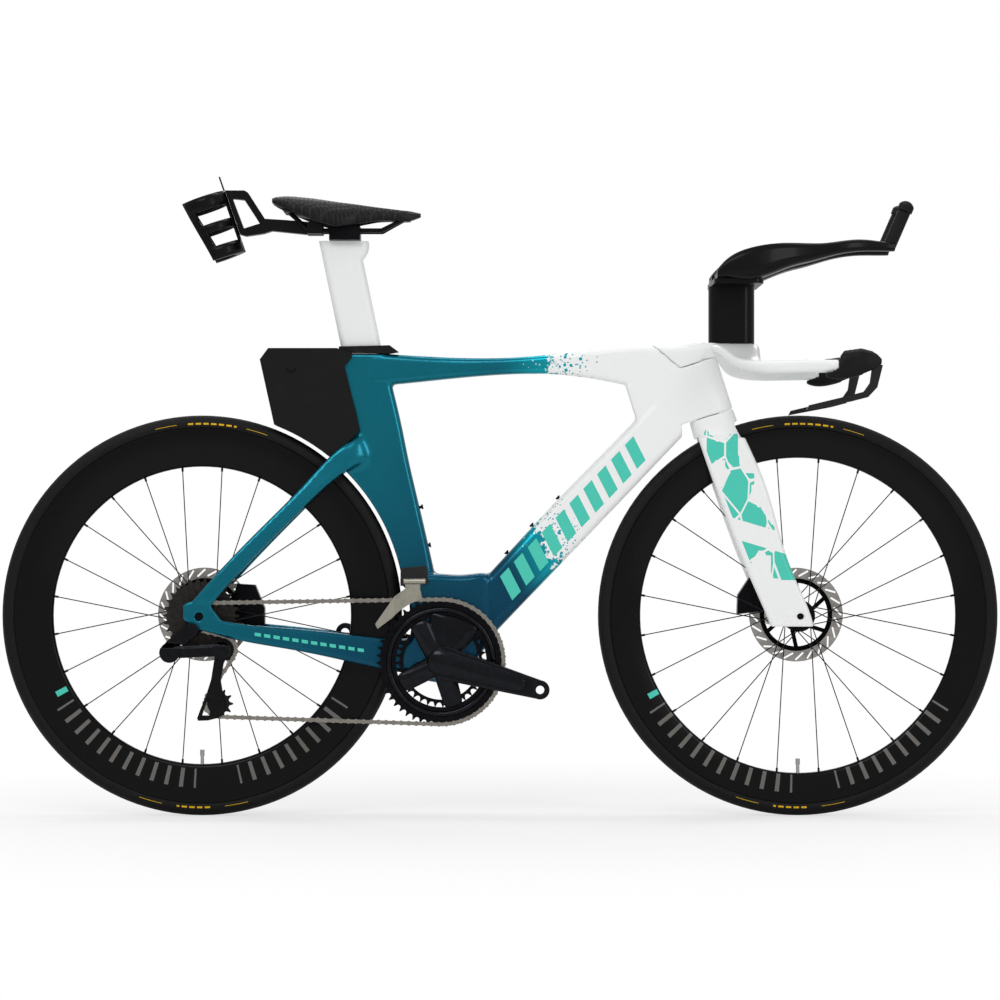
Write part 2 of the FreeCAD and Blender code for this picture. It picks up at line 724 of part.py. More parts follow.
CAGE_ANGLE = settled_cage_angle()
CHAIN_ROUTE, TENSION_PULLEY = chain_route(CAGE_ANGLE)
CHAIN_PINS = pin_places(CHAIN_ROUTE)
GUIDE_PULLEY = spot(CAGE_PIVOT_SHARES)


# Wheels

def tyre(axle):
    """Tyre with its bead in the rim's well."""
    half = TYRE_SECTION / 2
    crown = TYRE_RADIUS - half
    edge = RIM_EDGE_RADIUS + SEAT_GAP
    lip = math.sqrt(half * half - (crown - edge) ** 2)
    shoulder = half * math.sqrt(0.5)
    bead = RIM_WIDTH / 2 - RIM_WALL - SEAT_GAP
    well = RIM_EDGE_RADIUS - RIM_WELL_DEPTH + SEAT_GAP

    def at(radius, place):
        return Vector(axle.x + radius, place, axle.z)

    right = at(crown + shoulder, -shoulder)
    left = at(crown + shoulder, shoulder)
    edges = [
        Part.Arc(at(edge, -lip), at(crown, -half), right).toShape(),
        Part.Arc(right, at(TYRE_RADIUS, 0), left).toShape(),
        Part.Arc(left, at(crown, half), at(edge, lip)).toShape(),
    ]
    inside = [at(edge, lip), at(edge, bead), at(well, bead), at(well, -bead), at(edge, -bead), at(edge, -lip)]
    edges += [Part.makeLine(start, end) for start, end in zip(inside, inside[1:])]
    return Part.Face(Part.Wire(edges)).revolve(axle, LEFT, 360)


def spoke_line(number, depth, reach_left, reach_right, axle):
    """One spoke's end at the hub and its end in the rim."""
    side = 1 if number % 2 else -1
    lead = 1 if (number // 2) % 2 else -1
    rim_angle = 2 * math.pi * (number + 0.5) / SPOKE_COUNT
    hub_angle = rim_angle + lead * math.radians(SPOKE_LEAN)
    flange = reach_left if side > 0 else -reach_right
    end_radius = RIM_EDGE_RADIUS - depth + NIPPLE_SEAT
    hub_way = Vector(math.cos(hub_angle), 0, math.sin(hub_angle))
    start = axle + hub_way * FLANGE_PITCH_RADIUS + LEFT * (flange + lead * SPOKE_OFFSET)
    end = axle + Vector(math.cos(rim_angle), 0, math.sin(rim_angle)) * end_radius
    return start, end


def spoke_lines(depth, reach_left, reach_right, axle):
    """All the spokes of a wheel as pairs of ends."""
    return [spoke_line(number, depth, reach_left, reach_right, axle) for number in range(SPOKE_COUNT)]


def spokes(lines):
    """Round spokes with their nipples."""
    pieces = []
    for start, end in lines:
        collar = end + unit(start - end) * NIPPLE_LENGTH
        pieces.append(joined([rod(start, end, SPOKE_RADIUS), rod(collar, end, NIPPLE_RADIUS)]))
    return group(pieces)


def rim(axle, depth, lines):
    """Deep rim with a tyre well, nipple holes and a valve hole."""
    half = RIM_WIDTH / 2
    inner = RIM_EDGE_RADIUS - depth
    well = RIM_EDGE_RADIUS - RIM_WELL_DEPTH
    apex = inner + RIM_APEX_RISE

    def at(radius, place):
        return Vector(axle.x + radius, place, axle.z)

    corners = [at(RIM_EDGE_RADIUS, half), at(RIM_EDGE_RADIUS, half - RIM_WALL), at(well, half - RIM_WALL)]
    corners += [at(well, RIM_WALL - half), at(RIM_EDGE_RADIUS, RIM_WALL - half), at(RIM_EDGE_RADIUS, -half)]
    edges = [Part.makeLine(start, end) for start, end in zip(corners, corners[1:])]
    bulge = (RIM_EDGE_RADIUS + apex) / 2
    wide = (half + RIM_APEX_HALF) / 2 + RIM_BULGE
    edges.append(Part.Arc(corners[-1], at(bulge, -wide), at(apex, -RIM_APEX_HALF)).toShape())
    edges.append(Part.Arc(at(apex, -RIM_APEX_HALF), at(inner, 0), at(apex, RIM_APEX_HALF)).toShape())
    edges.append(Part.Arc(at(apex, RIM_APEX_HALF), at(bulge, wide), corners[0]).toShape())
    body = Part.Face(Part.Wire(edges)).revolve(axle, LEFT, 360)
    holes = []
    for start, end in lines:
        way = unit(end - start)
        holes.append(rod(end - way * NIPPLE_LENGTH, end + way * SEAT_GAP, NIPPLE_RADIUS + SEAT_GAP))
    holes.append(rod(axle - UP * (inner - NIPPLE_SEAT), axle - UP * TYRE_RADIUS, VALVE_RADIUS + SEAT_GAP))
    return body.cut(holes)


def valve(axle, depth):
    """Valve stem that stands out of the rim towards the hub, with its cap."""
    inner = RIM_EDGE_RADIUS - depth
    foot = axle - UP * (RIM_EDGE_RADIUS - RIM_WELL_DEPTH)
    cap = axle - UP * (inner - VALVE_LENGTH + VALVE_CAP_LENGTH)
    tip = axle - UP * (inner - VALVE_LENGTH)
    return joined([rod(foot, tip, VALVE_RADIUS), rod(cap, tip, VALVE_CAP_RADIUS)])


def hub(axle, steps, lines):
    """Turned hub with straight-pull spoke holes in its flanges."""
    body = turned(steps, AXLE_RADIUS + RUN_GAP, axle)
    holes = []
    for start, end in lines:
        way = unit(end - start)
        holes.append(rod(start - way * SEAT_GAP, start + way * FLANGE_RADIUS, SPOKE_RADIUS + SEAT_GAP))
    return body.cut(holes)


def flange_steps(middle):
    """Outside of one hub flange."""
    half = FLANGE_THICKNESS / 2
    ends = [(middle - half, HUB_BODY_RADIUS), (middle - half, FLANGE_RADIUS)]
    return ends + [(middle + half, FLANGE_RADIUS), (middle + half, HUB_BODY_RADIUS)]


def rotor_boss_steps(line, end):
    """Outside of a hub from its rotor shoulder to its left end."""
    shoulder = line - ROTOR_THICKNESS / 2
    boss = shoulder + ROTOR_BOSS_LENGTH
    seat = ROTOR_SEAT_RADIUS - RUN_GAP
    back = shoulder - ROTOR_BOSS_LENGTH
    steps = [(back, HUB_BODY_RADIUS), (back, ROTOR_HUB_RADIUS)]
    steps += [(shoulder, ROTOR_HUB_RADIUS), (shoulder, seat), (boss, seat)]
    return steps + [(boss, HUB_END_RADIUS), (end, HUB_END_RADIUS)]


def front_hub(lines):
    """Front hub with its rotor seat on the left."""
    end = FRONT_HUB_WIDTH / 2
    steps = [(-end, HUB_END_RADIUS), (-FRONT_FLANGE_REACH - FLANGE_THICKNESS, HUB_END_RADIUS)]
    steps += [(-FRONT_FLANGE_REACH - FLANGE_THICKNESS, HUB_BODY_RADIUS)]
    steps += flange_steps(-FRONT_FLANGE_REACH) + flange_steps(FRONT_FLANGE_REACH - FLANGE_THICKNESS / 2)
    return hub(FRONT_AXLE, steps + rotor_boss_steps(FRONT_ROTOR_LINE, end), lines)


def rear_hub(lines):
    """Rear hub with an axle end for the freehub on the right and a rotor seat on the left."""
    end = REAR_HUB_WIDTH / 2
    core = FREEHUB_BORE - RUN_GAP
    shoulder = -REAR_FLANGE_RIGHT - FLANGE_THICKNESS / 2
    steps = [(-end, core), (shoulder, core)]
    steps += flange_steps(-REAR_FLANGE_RIGHT) + flange_steps(REAR_FLANGE_LEFT)
    return hub(REAR_AXLE, steps + rotor_boss_steps(REAR_ROTOR_LINE, end), lines)


def rotor(axle, line):
    """Brake rotor with a track of slanted slots, a carrier ring and arms."""
    low, high = line - ROTOR_THICKNESS / 2, line + ROTOR_THICKNESS / 2
    inside = ROTOR_RADIUS - ROTOR_TRACK - ROTOR_CARRIER
    track = cross_rod(axle, ROTOR_RADIUS, low, high).cut(cross_rod(axle, inside, low, high))
    slots = []
    for number in range(ROTOR_SLOTS):
        angle = 2 * math.pi * number / ROTOR_SLOTS
        swept = angle + math.radians(ROTOR_SLOT_SWEEP)
        outer = Vector(math.cos(angle), 0, math.sin(angle)) * (ROTOR_RADIUS - ROTOR_SLOT_MARGIN)
        inner = Vector(math.cos(swept), 0, math.sin(swept)) * (ROTOR_RADIUS - ROTOR_TRACK + ROTOR_SLOT_RADIUS)
        slots.append(bar_plate(axle + outer, axle + inner, ROTOR_SLOT_RADIUS, ROTOR_SLOT_RADIUS, low, high))
    pieces = [track.cut(slots), cross_rod(axle, ROTOR_HUB_RADIUS, low, high)]
    for number in range(ROTOR_ARMS):
        angle = 2 * math.pi * number / ROTOR_ARMS
        swept = angle + math.pi / ROTOR_ARMS
        start = axle + Vector(math.cos(angle), 0, math.sin(angle)) * ROTOR_SEAT_RADIUS
        end = axle + Vector(math.cos(swept), 0, math.sin(swept)) * inside
        pieces.append(bar_plate(start, end, ROTOR_ARM_WIDTH / 2, ROTOR_ARM_WIDTH / 2, low, high))
    return joined(pieces).cut(cross_rod(axle, ROTOR_SEAT_RADIUS, low, high))


def thru_axle(axle, inner, thickness):
    """Axle through a hub and both dropouts, flush with them."""
    return cross_rod(axle, AXLE_RADIUS, -inner - thickness, inner + thickness)


def caliper(outline, axle, line, seat):
    """Brake caliper with a rotor slot and its two pads, fitted against its seat."""
    points = [spot(point) for point in outline]
    low, high = line - CALIPER_HALF_WIDTH, line + CALIPER_HALF_WIDTH
    half_slot = CALIPER_SLOT / 2
    body = plate(points, low, high)
    slot = cross_rod(axle, ROTOR_RADIUS + CALIPER_ROTOR_GAP, line - half_slot, line + half_slot)
    body = body.cut(slot).cut(seat)
    pads = []
    for side in SIDES:
        face = line + side * (ROTOR_THICKNESS / 2 + PAD_GAP)
        back = line + side * half_slot
        ring = cross_rod(axle, ROTOR_RADIUS, min(face, back), max(face, back))
        pads.append(plate(points, min(face, back), max(face, back)).common(ring).cut(seat))
    return group([body] + pads)


# Frame

def head_form():
    """Outside of the head tube: a teardrop drawn along the steering axis."""
    nose = steer_spot(HEAD_NOSE_REACH, 0)
    left = steer_spot(0, 0, HEAD_HALF_WIDTH)
    right = steer_spot(0, 0, -HEAD_HALF_WIDTH)
    tail_left = steer_spot(-HEAD_TAIL_REACH, 0, HEAD_TAIL_HALF_WIDTH)
    tail_right = steer_spot(-HEAD_TAIL_REACH, 0, -HEAD_TAIL_HALF_WIDTH)
    edges = [Part.Arc(right, nose, left).toShape()]
    corners = [left, tail_left, tail_right, right]
    edges += [Part.makeLine(start, end) for start, end in zip(corners, corners[1:])]
    return Part.Face(Part.Wire(edges)).extrude(STEER_UP * HEAD_TUBE_LENGTH)


def head_tube():
    """Head tube with its bore and its two bearing seats."""
    seat = BEARING_RADIUS + RUN_GAP
    bore = steer_cylinder(-OVERRUN, HEAD_TUBE_LENGTH + OVERRUN, HEAD_BORE_RADIUS)
    lower = steer_cylinder(-OVERRUN, BEARING_HEIGHT, seat)
    upper = steer_cylinder(HEAD_TUBE_LENGTH - BEARING_HEIGHT, HEAD_TUBE_LENGTH + OVERRUN, seat)
    return head_form().cut([bore, lower, upper])


def ring_bearing(start, end, outer, inner):
    """Bearing ring between two points of its axis."""
    return rod(start, end, outer).cut(rod(start, end, inner))


def frame_bearings():
    """Two headset bearings and two bottom bracket cups."""
    bore = STEERER_RADIUS + RUN_GAP
    top = HEAD_TUBE_LENGTH - BEARING_HEIGHT
    rings = [ring_bearing(steer_spot(0, 0), steer_spot(0, BEARING_HEIGHT), BEARING_RADIUS, bore)]
    rings.append(ring_bearing(steer_spot(0, top), steer_spot(0, HEAD_TUBE_LENGTH), BEARING_RADIUS, bore))
    for side in SIDES:
        outer = BB + LEFT * (side * BB_SHELL_HALF)
        inner = BB + LEFT * (side * (BB_SHELL_HALF - BB_CUP_WIDTH))
        rings.append(ring_bearing(inner, outer, BB_CUP_RADIUS, SPINDLE_RADIUS + RUN_GAP))
    return group(rings)


def top_form():
    """Outside of the top tube, carried on forward through the stem's tail."""
    rows = [(forward, low, high, 0, width) for forward, low, high, width in TOP_TUBE_SHARES]
    return upright_loft(rows, 0, TOP_TUBE_HALF, TUBE_CORNER_SHARE)


def stem_space(seam):
    """Bowl about the steering axis in which the stem's tail turns, drawn in by a seam."""
    base = HEAD_TUBE_LENGTH + seam
    rise = HEAD_TUBE_LENGTH + STEM_CONE_HEIGHT
    top = rise + OVERRUN
    profile = [(0, base), (STEM_SEAT_RADIUS - seam, base), (STEM_CONE_RADIUS - seam, rise)]
    profile += [(STEM_CONE_RADIUS - seam, top), (0, top)]
    points = [steer_spot(radius, height) for radius, height in profile]
    return Part.Face(Part.makePolygon(points + points[:1])).revolve(CROWN, STEER_UP, 360)


def head_space():
    """Space from the head tube's tail forward, under its top."""
    ends = (-HEAD_TAIL_REACH, HEAD_TAIL_REACH)
    corners = [steer_spot(forward, -OVERRUN) for forward in ends]
    corners += [steer_spot(forward, HEAD_TUBE_LENGTH) for forward in reversed(ends)]
    return plate(corners, -OVERRUN, OVERRUN)


def front_of_head():
    """Space over the head tube in front of the steering axis."""
    low = steer_spot(0, HEAD_TUBE_LENGTH)
    return Part.makeCylinder(WHEELBASE / 4, OVERRUN * 2, low, STEER_UP, 180)


def seat_form():
    """Outside of the seat tube with the rear wheel's cut-out."""
    sections = []
    for rear, front, width in SEAT_TUBE_SHARES:
        sections.append(edge_section(spot(rear), spot(front), SEAT_TUBE_HALF * width, TUBE_CORNER_SHARE))
    return loft(sections).cut(wheel_space(REAR_AXLE, OVERRUN))


def seatpost_form(gap, drop, rise):
    """Seatpost's straight part, wider by a gap, from below its foot to a height over it."""
    foot = spot(SEATPOST_FOOT_SHARES)
    slope = 1 / math.tan(math.radians(SEATPOST_ANGLE))
    low = foot - Vector(-slope, 0, 1) * drop
    half = SEATPOST_CHORD / 2 + gap
    corner = BLADE_CORNER_SHARE * SEATPOST_HALF
    section = rounded_section(low, FORWARD, LEFT, half, SEATPOST_HALF + gap, corner)
    return Part.Face(section).extrude(Vector(-slope, 0, 1) * (rise + drop))


def bolt(place, outward):
    """Cage bolt with its head on a tube's face and its shank in the tube."""
    head = rod(place, place + outward * CAGE_BOLT_HEIGHT, CAGE_BOLT_RADIUS)
    shank = rod(place - outward * CAGE_BOLT_DEPTH, place + outward * CAGE_BOLT_HEIGHT, CAGE_BOLT_SHANK)
    return joined([head, shank])


def outward_of(points):
    """Direction that points forward and up from a line of bolts, square to it."""
    along = unit(spot(points[-1]) - spot(points[0]))
    across = Vector(-along.z, 0, along.x)
    return across if across.x * along.z < 0 else across * -1


def cage_bolts():
    """Bottle cage bolts on the seat tube's front and on the down tube's top."""
    seat_way = outward_of(SEAT_BOLT_SHARES)
    down_way = outward_of(DOWN_BOLT_SHARES)
    bolts = [bolt(spot(place), seat_way) for place in SEAT_BOLT_SHARES]
    return group(bolts + [bolt(spot(place), down_way) for place in DOWN_BOLT_SHARES])


def top_tube(seat):
    """Top tube between the seat tube and the head tube, with the stem's bowl."""
    return largest(top_form().cut([head_space(), seat, stem_space(0), front_of_head()]))


def largest(shape):
    """The largest solid of a cut shape."""
    return max(shape.Solids, key=lambda solid: solid.Volume)


def down_form():
    """Outside of the down tube."""
    sections = []
    for low, high, width in DOWN_TUBE_SHARES:
        sections.append(edge_section(spot(low), spot(high), DOWN_TUBE_HALF * width, TUBE_CORNER_SHARE))
    return loft(sections)


def bb_form():
    """Outside of the bottom bracket's box and shell."""
    sections = []
    for low, high, width in BB_BLOCK_SHARES:
        sections.append(edge_section(spot(low), spot(high), BB_BLOCK_HALF * width, BOX_CORNER_SHARE))
    shell = cross_rod(BB, BB_SHELL_RADIUS, -BB_SHELL_HALF, BB_SHELL_HALF)
    return joined([loft(sections), shell])


def bb_shell(seat):
    """Bottom bracket box with its spindle bore and cup seats."""
    bores = [cross_rod(BB, SPINDLE_RADIUS + PART_GAP, -OVERRUN * 2, OVERRUN * 2)]
    for side in SIDES:
        inner = side * (BB_SHELL_HALF - BB_CUP_WIDTH)
        outer = side * (BB_SHELL_HALF + OVERRUN)
        bores.append(cross_rod(BB, BB_CUP_RADIUS + RUN_GAP, min(inner, outer), max(inner, outer)))
    return largest(bb_form().cut(bores + [seat, wheel_space(REAR_AXLE, OVERRUN)]))


def stay(rows, inner, thickness):
    """Right-hand stay through sections between two edge points."""
    middle = inner + thickness / 2
    sections = []
    for low, high, side, width in rows:
        start = spot(low, -middle * side)
        end = spot(high, -middle * side)
        sections.append(edge_section(start, end, STAY_HALF * width, TUBE_CORNER_SHARE))
    return loft(sections)


def dropout(side):
    """Rear dropout plate on one side."""
    low, high = sorted((side * DROPOUT_INNER, side * (DROPOUT_INNER + DROPOUT_THICKNESS)))
    return plate([spot(point) for point in DROPOUT_SHARES], low, high)


def hanger():
    """Derailleur hanger set into the right dropout's inner face."""
    low = -DROPOUT_INNER - HANGER_THICKNESS
    body = plate([spot(point) for point in HANGER_SHARES], low, -DROPOUT_INNER)
    face = -DROPOUT_INNER - DROPOUT_THICKNESS
    boss = cross_rod(spot(HANGER_BOLT_SHARES), HANGER_BOSS_RADIUS, face, -DROPOUT_INNER)
    hole = cross_rod(REAR_AXLE, AXLE_RADIUS + RUN_GAP, -WHEELBASE, WHEELBASE)
    return joined([body, boss]).cut(hole)


def chain_space():
    """Space about the cassette and the guide pulley that the chain needs beside the right chainstay."""
    reach = (GUIDE_PULLEY - REAR_AXLE).Length + pitch_radius(PULLEY_TEETH) + CHAIN_PLATE_RADIUS + PART_GAP
    half = CHAIN_INNER_HALF + CHAIN_PLATE * 2 + CHAIN_PLATE_GAP
    return cross_rod(REAR_AXLE, reach, -COG_LINE - half - PART_GAP, 0)


def chainstays(insert):
    """Chainstays from the bottom bracket's rear face, with their dropouts, cut for axle, hanger and chain."""
    right = stay(CHAINSTAY_SHARES, DROPOUT_INNER, DROPOUT_THICKNESS)
    hole = cross_rod(REAR_AXLE, AXLE_RADIUS + RUN_GAP, -WHEELBASE, WHEELBASE)
    pair = []
    for side, form in ((-1, right), (1, mirrored(right))):
        whole = joined([form, dropout(side)])
        pair.append(largest(whole.cut([hole, insert, chain_space()])))
    return group(pair)


def seatstays(seat):
    """Seatstays from the dropouts to blunt tips on the seat tube's sides."""
    right = stay(SEATSTAY_SHARES, DROPOUT_INNER, DROPOUT_THICKNESS)
    ends = plate([spot(point) for point in DROPOUT_SHARES], -WHEELBASE, WHEELBASE)
    tips = plate([spot(point) for point in SEATSTAY_TIP_SHARES], -WHEELBASE, WHEELBASE)
    return group([largest(form.cut([seat, ends, tips])) for form in (right, mirrored(right))])


def box_form():
    """Outside of the storage box behind the seat tube, over the rear tyre."""
    outline = [spot(point) for point in BOX_SHARES]
    return plate(outline, -BOX_HALF_WIDTH, BOX_HALF_WIDTH).cut(wheel_space(REAR_AXLE, OVERRUN))


def storage_box(others):
    """Hollow storage box with a lid opening, a hinge pin and a finger notch."""
    wide = BOX_HALF_WIDTH - BOX_WALL
    outline = [spot(point) for point in BOX_SHARES]
    inside = Part.makePolygon(outline + outline[:1]).makeOffset2D(-BOX_WALL)
    hollow = Part.Face(inside)
    hollow.translate(LEFT * -wide)
    hollow = hollow.extrude(LEFT * (wide * 2))
    floor = cross_rod(REAR_AXLE, TYRE_RADIUS + TYRE_GAP + BOX_WALL, -OVERRUN, OVERRUN)
    hinge = spot(BOX_HINGE_SHARES)
    mouth = [spot(point) + UP * BOX_WALL for point in BOX_LID_SHARES[:2]]
    mouth += [spot(point) - UP * BOX_WALL for point in BOX_LID_SHARES[2:]]
    opening = plate(mouth, -wide, wide)
    barrel = cross_rod(hinge, BOX_BARREL_RADIUS + PART_GAP, -wide, wide)
    notches = []
    for side in SIDES:
        face = side * (BOX_HALF_WIDTH - BOX_NOTCH_DEPTH)
        low, high = sorted((face, side * (BOX_HALF_WIDTH + OVERRUN)))
        place = spot(BOX_NOTCH_SHARES)
        rest = cross_rod(place + UP * (BOX_NOTCH_RADIUS / 2), BOX_NOTCH_RADIUS, low, high)
        notches.append(cross_rod(place, BOX_NOTCH_RADIUS, low, high).cut(rest))
    body = largest(box_form().cut([hollow.cut(floor), opening, barrel] + notches + others))
    return joined([body, cross_rod(hinge, BOX_PIN_RADIUS, -BOX_HALF_WIDTH, BOX_HALF_WIDTH)])


def storage_lid():
    """Lid between the storage box's side walls, with its hinge barrel."""
    wide = BOX_HALF_WIDTH - BOX_WALL - SEAT_GAP
    hinge = spot(BOX_HINGE_SHARES)
    lid = plate([spot(point) for point in BOX_LID_SHARES], -wide, wide)
    lid = joined([lid, cross_rod(hinge, BOX_BARREL_RADIUS, -wide, wide)])
    return lid.cut(cross_rod(hinge, BOX_PIN_RADIUS + RUN_GAP, -OVERRUN, OVERRUN))


def clamp_cover(others):
    """Cover over the seat clamp, around the seatpost."""
    outline = [spot(point) for point in CLAMP_COVER_SHARES]
    body = plate(outline, -CLAMP_COVER_HALF, CLAMP_COVER_HALF)
    return largest(body.cut(others + [seatpost_form(SEAT_GAP, 0, SEATPOST_RISE)]))


# Fork and cockpit

def fork_crown():
    """Fork crown under the head tube."""
    sections = []
    for rear, front, drop, width in CROWN_SHARES:
        height = -PART_GAP - drop * CROWN_SWEEP
        start = steer_spot(-rear * HEAD_NOSE_REACH, height)
        end = steer_spot(front * HEAD_NOSE_REACH, height)
        sections.append(edge_section(start, end, HEAD_HALF_WIDTH * width, BLADE_CORNER_SHARE))
    return loft(sections)


def fork_blade():
    """Right fork blade."""
    middle = FORK_DROPOUT_INNER + FORK_HALF * FORK_BLADE_SHARES[-2][3]
    sections = []
    for rear, front, side, width in FORK_BLADE_SHARES:
        start = spot(rear, -middle * side)
        end = spot(front, -middle * side)
        sections.append(edge_section(start, end, FORK_HALF * width, BLADE_CORNER_SHARE))
    return loft(sections)


def fork():
    """Fork with its steerer, its wheel space and its axle holes."""
    blade = fork_blade()
    steerer = steer_cylinder(-CROWN_SWEEP / 2, HEAD_TUBE_LENGTH + STEERER_TOP, STEERER_RADIUS)
    body = joined([fork_crown(), blade, mirrored(blade), steerer])
    space = wheel_space(FRONT_AXLE, TYRE_SECTION / 2 + TYRE_GAP)
    hole = cross_rod(FRONT_AXLE, AXLE_RADIUS + RUN_GAP, -WHEELBASE, WHEELBASE)
    return largest(body.cut([space, hole]))


def bar_half():
    """Right half of the base bar, from its middle to its grip's end."""
    sections = []
    for place, side, turn, chord, height in BAR_SHARES:
        angle = math.radians(turn)
        along = Vector(math.cos(angle), math.sin(angle), 0)
        half_chord = BAR_GRIP_RADIUS * chord
        half_height = BAR_GRIP_RADIUS * height
        corner = BLADE_CORNER_SHARE * min(half_chord, half_height)
        centre = spot(place, -BAR_REACH * side)
        sections.append(rounded_section(centre, along, UP, half_chord, half_height, corner))
    return loft(sections)


def base_bar():
    """One-piece stem and base bar, turning in the top tube's bowl."""
    rows = [(forward, low, high, 0, width) for forward, low, high, width in STEM_SHARES]
    stem = upright_loft(rows, 0, STEM_HALF, TUBE_CORNER_SHARE)
    tail = top_form().common(stem_space(STEM_SEAM))
    below = steer_cylinder(0, HEAD_TUBE_LENGTH + STEM_SEAM, STEM_CONE_RADIUS)
    half = bar_half()
    body = joined([tail, stem, half, mirrored(half)])
    steerer = steer_cylinder(-OVERRUN, HEAD_TUBE_LENGTH + STEERER_TOP, STEERER_RADIUS + RUN_GAP)
    return largest(body.cut([below, steerer]))


def armrest_riser(bar):
    """Column on the base bar with the flat bridge that carries both forearm extensions."""
    rear, front, low, high = TOWER_SHARES
    foot = edge_section(spot((rear, low)), spot((front, low)), TOWER_HALF_WIDTH, BLADE_CORNER_SHARE)
    column = Part.Face(foot).extrude(UP * ((high - low) * WHEELBASE))
    rear, front = BRIDGE_SHARES
    centre = (spot((rear, high)) + spot((front, high))) * 0.5
    half = (front - rear) * WHEELBASE / 2
    section = rounded_section(centre, FORWARD, LEFT, half, BRIDGE_HALF_WIDTH, BRIDGE_CORNER)
    bridge = Part.Face(section).extrude(UP * BRIDGE_HEIGHT)
    return joined([largest(column.cut(bar)), bridge])


def extension(riser):
    """Right forearm extension: a cupped rest that runs out into a bar."""
    form = upright_loft(EXTENSION_SHARES, -EXTENSION_SPREAD, EXTENSION_HALF, EXTENSION_CORNER_SHARE)
    cup = upright_loft(CUP_SHARES, -EXTENSION_SPREAD, EXTENSION_HALF, BOX_CORNER_SHARE)
    return largest(form.cut([cup, riser]))


def arm_pad():
    """Right arm pad: the lower part of the cup, filled to the pad's height."""
    cup = upright_loft(CUP_SHARES, -EXTENSION_SPREAD, EXTENSION_HALF, BOX_CORNER_SHARE)
    rise = ARM_PAD_HEIGHT / WHEELBASE
    rows = [(forward, floor, floor + rise, side, width) for forward, floor, _, side, width in CUP_SHARES]
    layer = upright_loft(rows, -EXTENSION_SPREAD, EXTENSION_HALF * 2, TUBE_CORNER_SHARE)
    first, last = CUP_SHARES[0][0], CUP_SHARES[-1][0]
    low = spot((first + (last - first) * ARM_PAD_FIRST_SHARE, 0))
    high = spot((first + (last - first) * ARM_PAD_LAST_SHARE, 0))
    window = Part.makeBox(high.x - low.x, WHEELBASE, WHEELBASE * 2, Vector(low.x, -WHEELBASE / 2, 0))
    return largest(cup.common(layer).common(window))


def grip_ends():
    """Ends of the right extension's grip and its direction."""
    side = -EXTENSION_SPREAD * EXTENSION_SHARES[-1][3]
    start, end = (spot(point, side) for point in GRIP_SHARES)
    return start, end, unit(end - start)


def grip(arm):
    """Right grip with a blind hole for the button's stem."""
    start, end, way = grip_ends()
    hole = rod(end - way * (BUTTON_STEM_LENGTH + BUTTON_TRAVEL * 2), end, BUTTON_STEM_RADIUS + RUN_GAP)
    return largest(rod(start, end, GRIP_RADIUS).cut([arm, hole]))


def shift_button():
    """Right shift button: a domed cap on a stem that slides in the grip."""
    _, end, way = grip_ends()
    foot = end + way * (BUTTON_TRAVEL + SEAT_GAP)
    shoulder = foot + way * BUTTON_HEIGHT
    ball = (BUTTON_RADIUS * BUTTON_RADIUS + BUTTON_DOME * BUTTON_DOME) / (BUTTON_DOME * 2)
    dome = Part.makeSphere(ball, shoulder - way * (ball - BUTTON_DOME))
    dome = dome.common(rod(shoulder, shoulder + way * OVERRUN, BUTTON_RADIUS))
    stem = rod(end - way * BUTTON_STEM_LENGTH, shoulder, BUTTON_STEM_RADIUS)
    return joined([rod(foot, shoulder, BUTTON_RADIUS), dome, stem])


def bar_socket():
    """Space in the right lever body that takes the base bar's end."""
    place, _, _, chord, height = BAR_SHARES[-1]
    half_chord = BAR_GRIP_RADIUS * chord + PART_GAP
    half_height = BAR_GRIP_RADIUS * height + PART_GAP
    corner = BLADE_CORNER_SHARE * min(half_chord, half_height)
    section = rounded_section(spot(place, -BAR_REACH), LEFT, UP, half_chord, half_height, corner)
    return Part.Face(section).extrude(FORWARD * -OVERRUN)


def lever_body():
    """Right brake lever body on the base bar's end, with the lever's slot and pin."""
    rows = [(forward, low, high, 1, width) for forward, low, high, width in LEVER_BODY_SHARES]
    form = upright_loft(rows, -BAR_REACH, LEVER_BODY_HALF, BLADE_CORNER_SHARE)
    pivot = spot(LEVER_PIVOT_SHARES)
    half = LEVER_HALF_WIDTH + PART_GAP
    low, high = -BAR_REACH - half, -BAR_REACH + half
    corners = [(-LEVER_SLOT_RADIUS, LEVER_SLOT_RADIUS), (OVERRUN, LEVER_SLOT_RADIUS), (OVERRUN, -OVERRUN)]
    corners += [(-OVERRUN, -OVERRUN), (-LEVER_SLOT_RADIUS, 0)]
    slot = plate([pivot + FORWARD * forward + UP * up for forward, up in corners], low, high)
    body = largest(form.cut([slot, bar_socket()]))
    pin_reach = LEVER_BODY_HALF * LEVER_BODY_SHARES[-1][3]
    return joined([body, cross_rod(pivot, LEVER_PIN_RADIUS, -BAR_REACH - pin_reach, -BAR_REACH + pin_reach)])


def brake_lever():
    """Right brake lever, hooked back under the base bar's grip."""
    low, high = -BAR_REACH - LEVER_HALF_WIDTH, -BAR_REACH + LEVER_HALF_WIDTH
    pivot = spot(LEVER_PIVOT_SHARES)
    blade = plate([spot(point) for point in LEVER_SHARES], low, high)
    blade = joined([blade, cross_rod(pivot, LEVER_BOSS_RADIUS, low, high)])
    return blade.cut(cross_rod(pivot, LEVER_PIN_RADIUS + RUN_GAP, -WHEELBASE, WHEELBASE))


# Seatpost, saddle and rear carrier

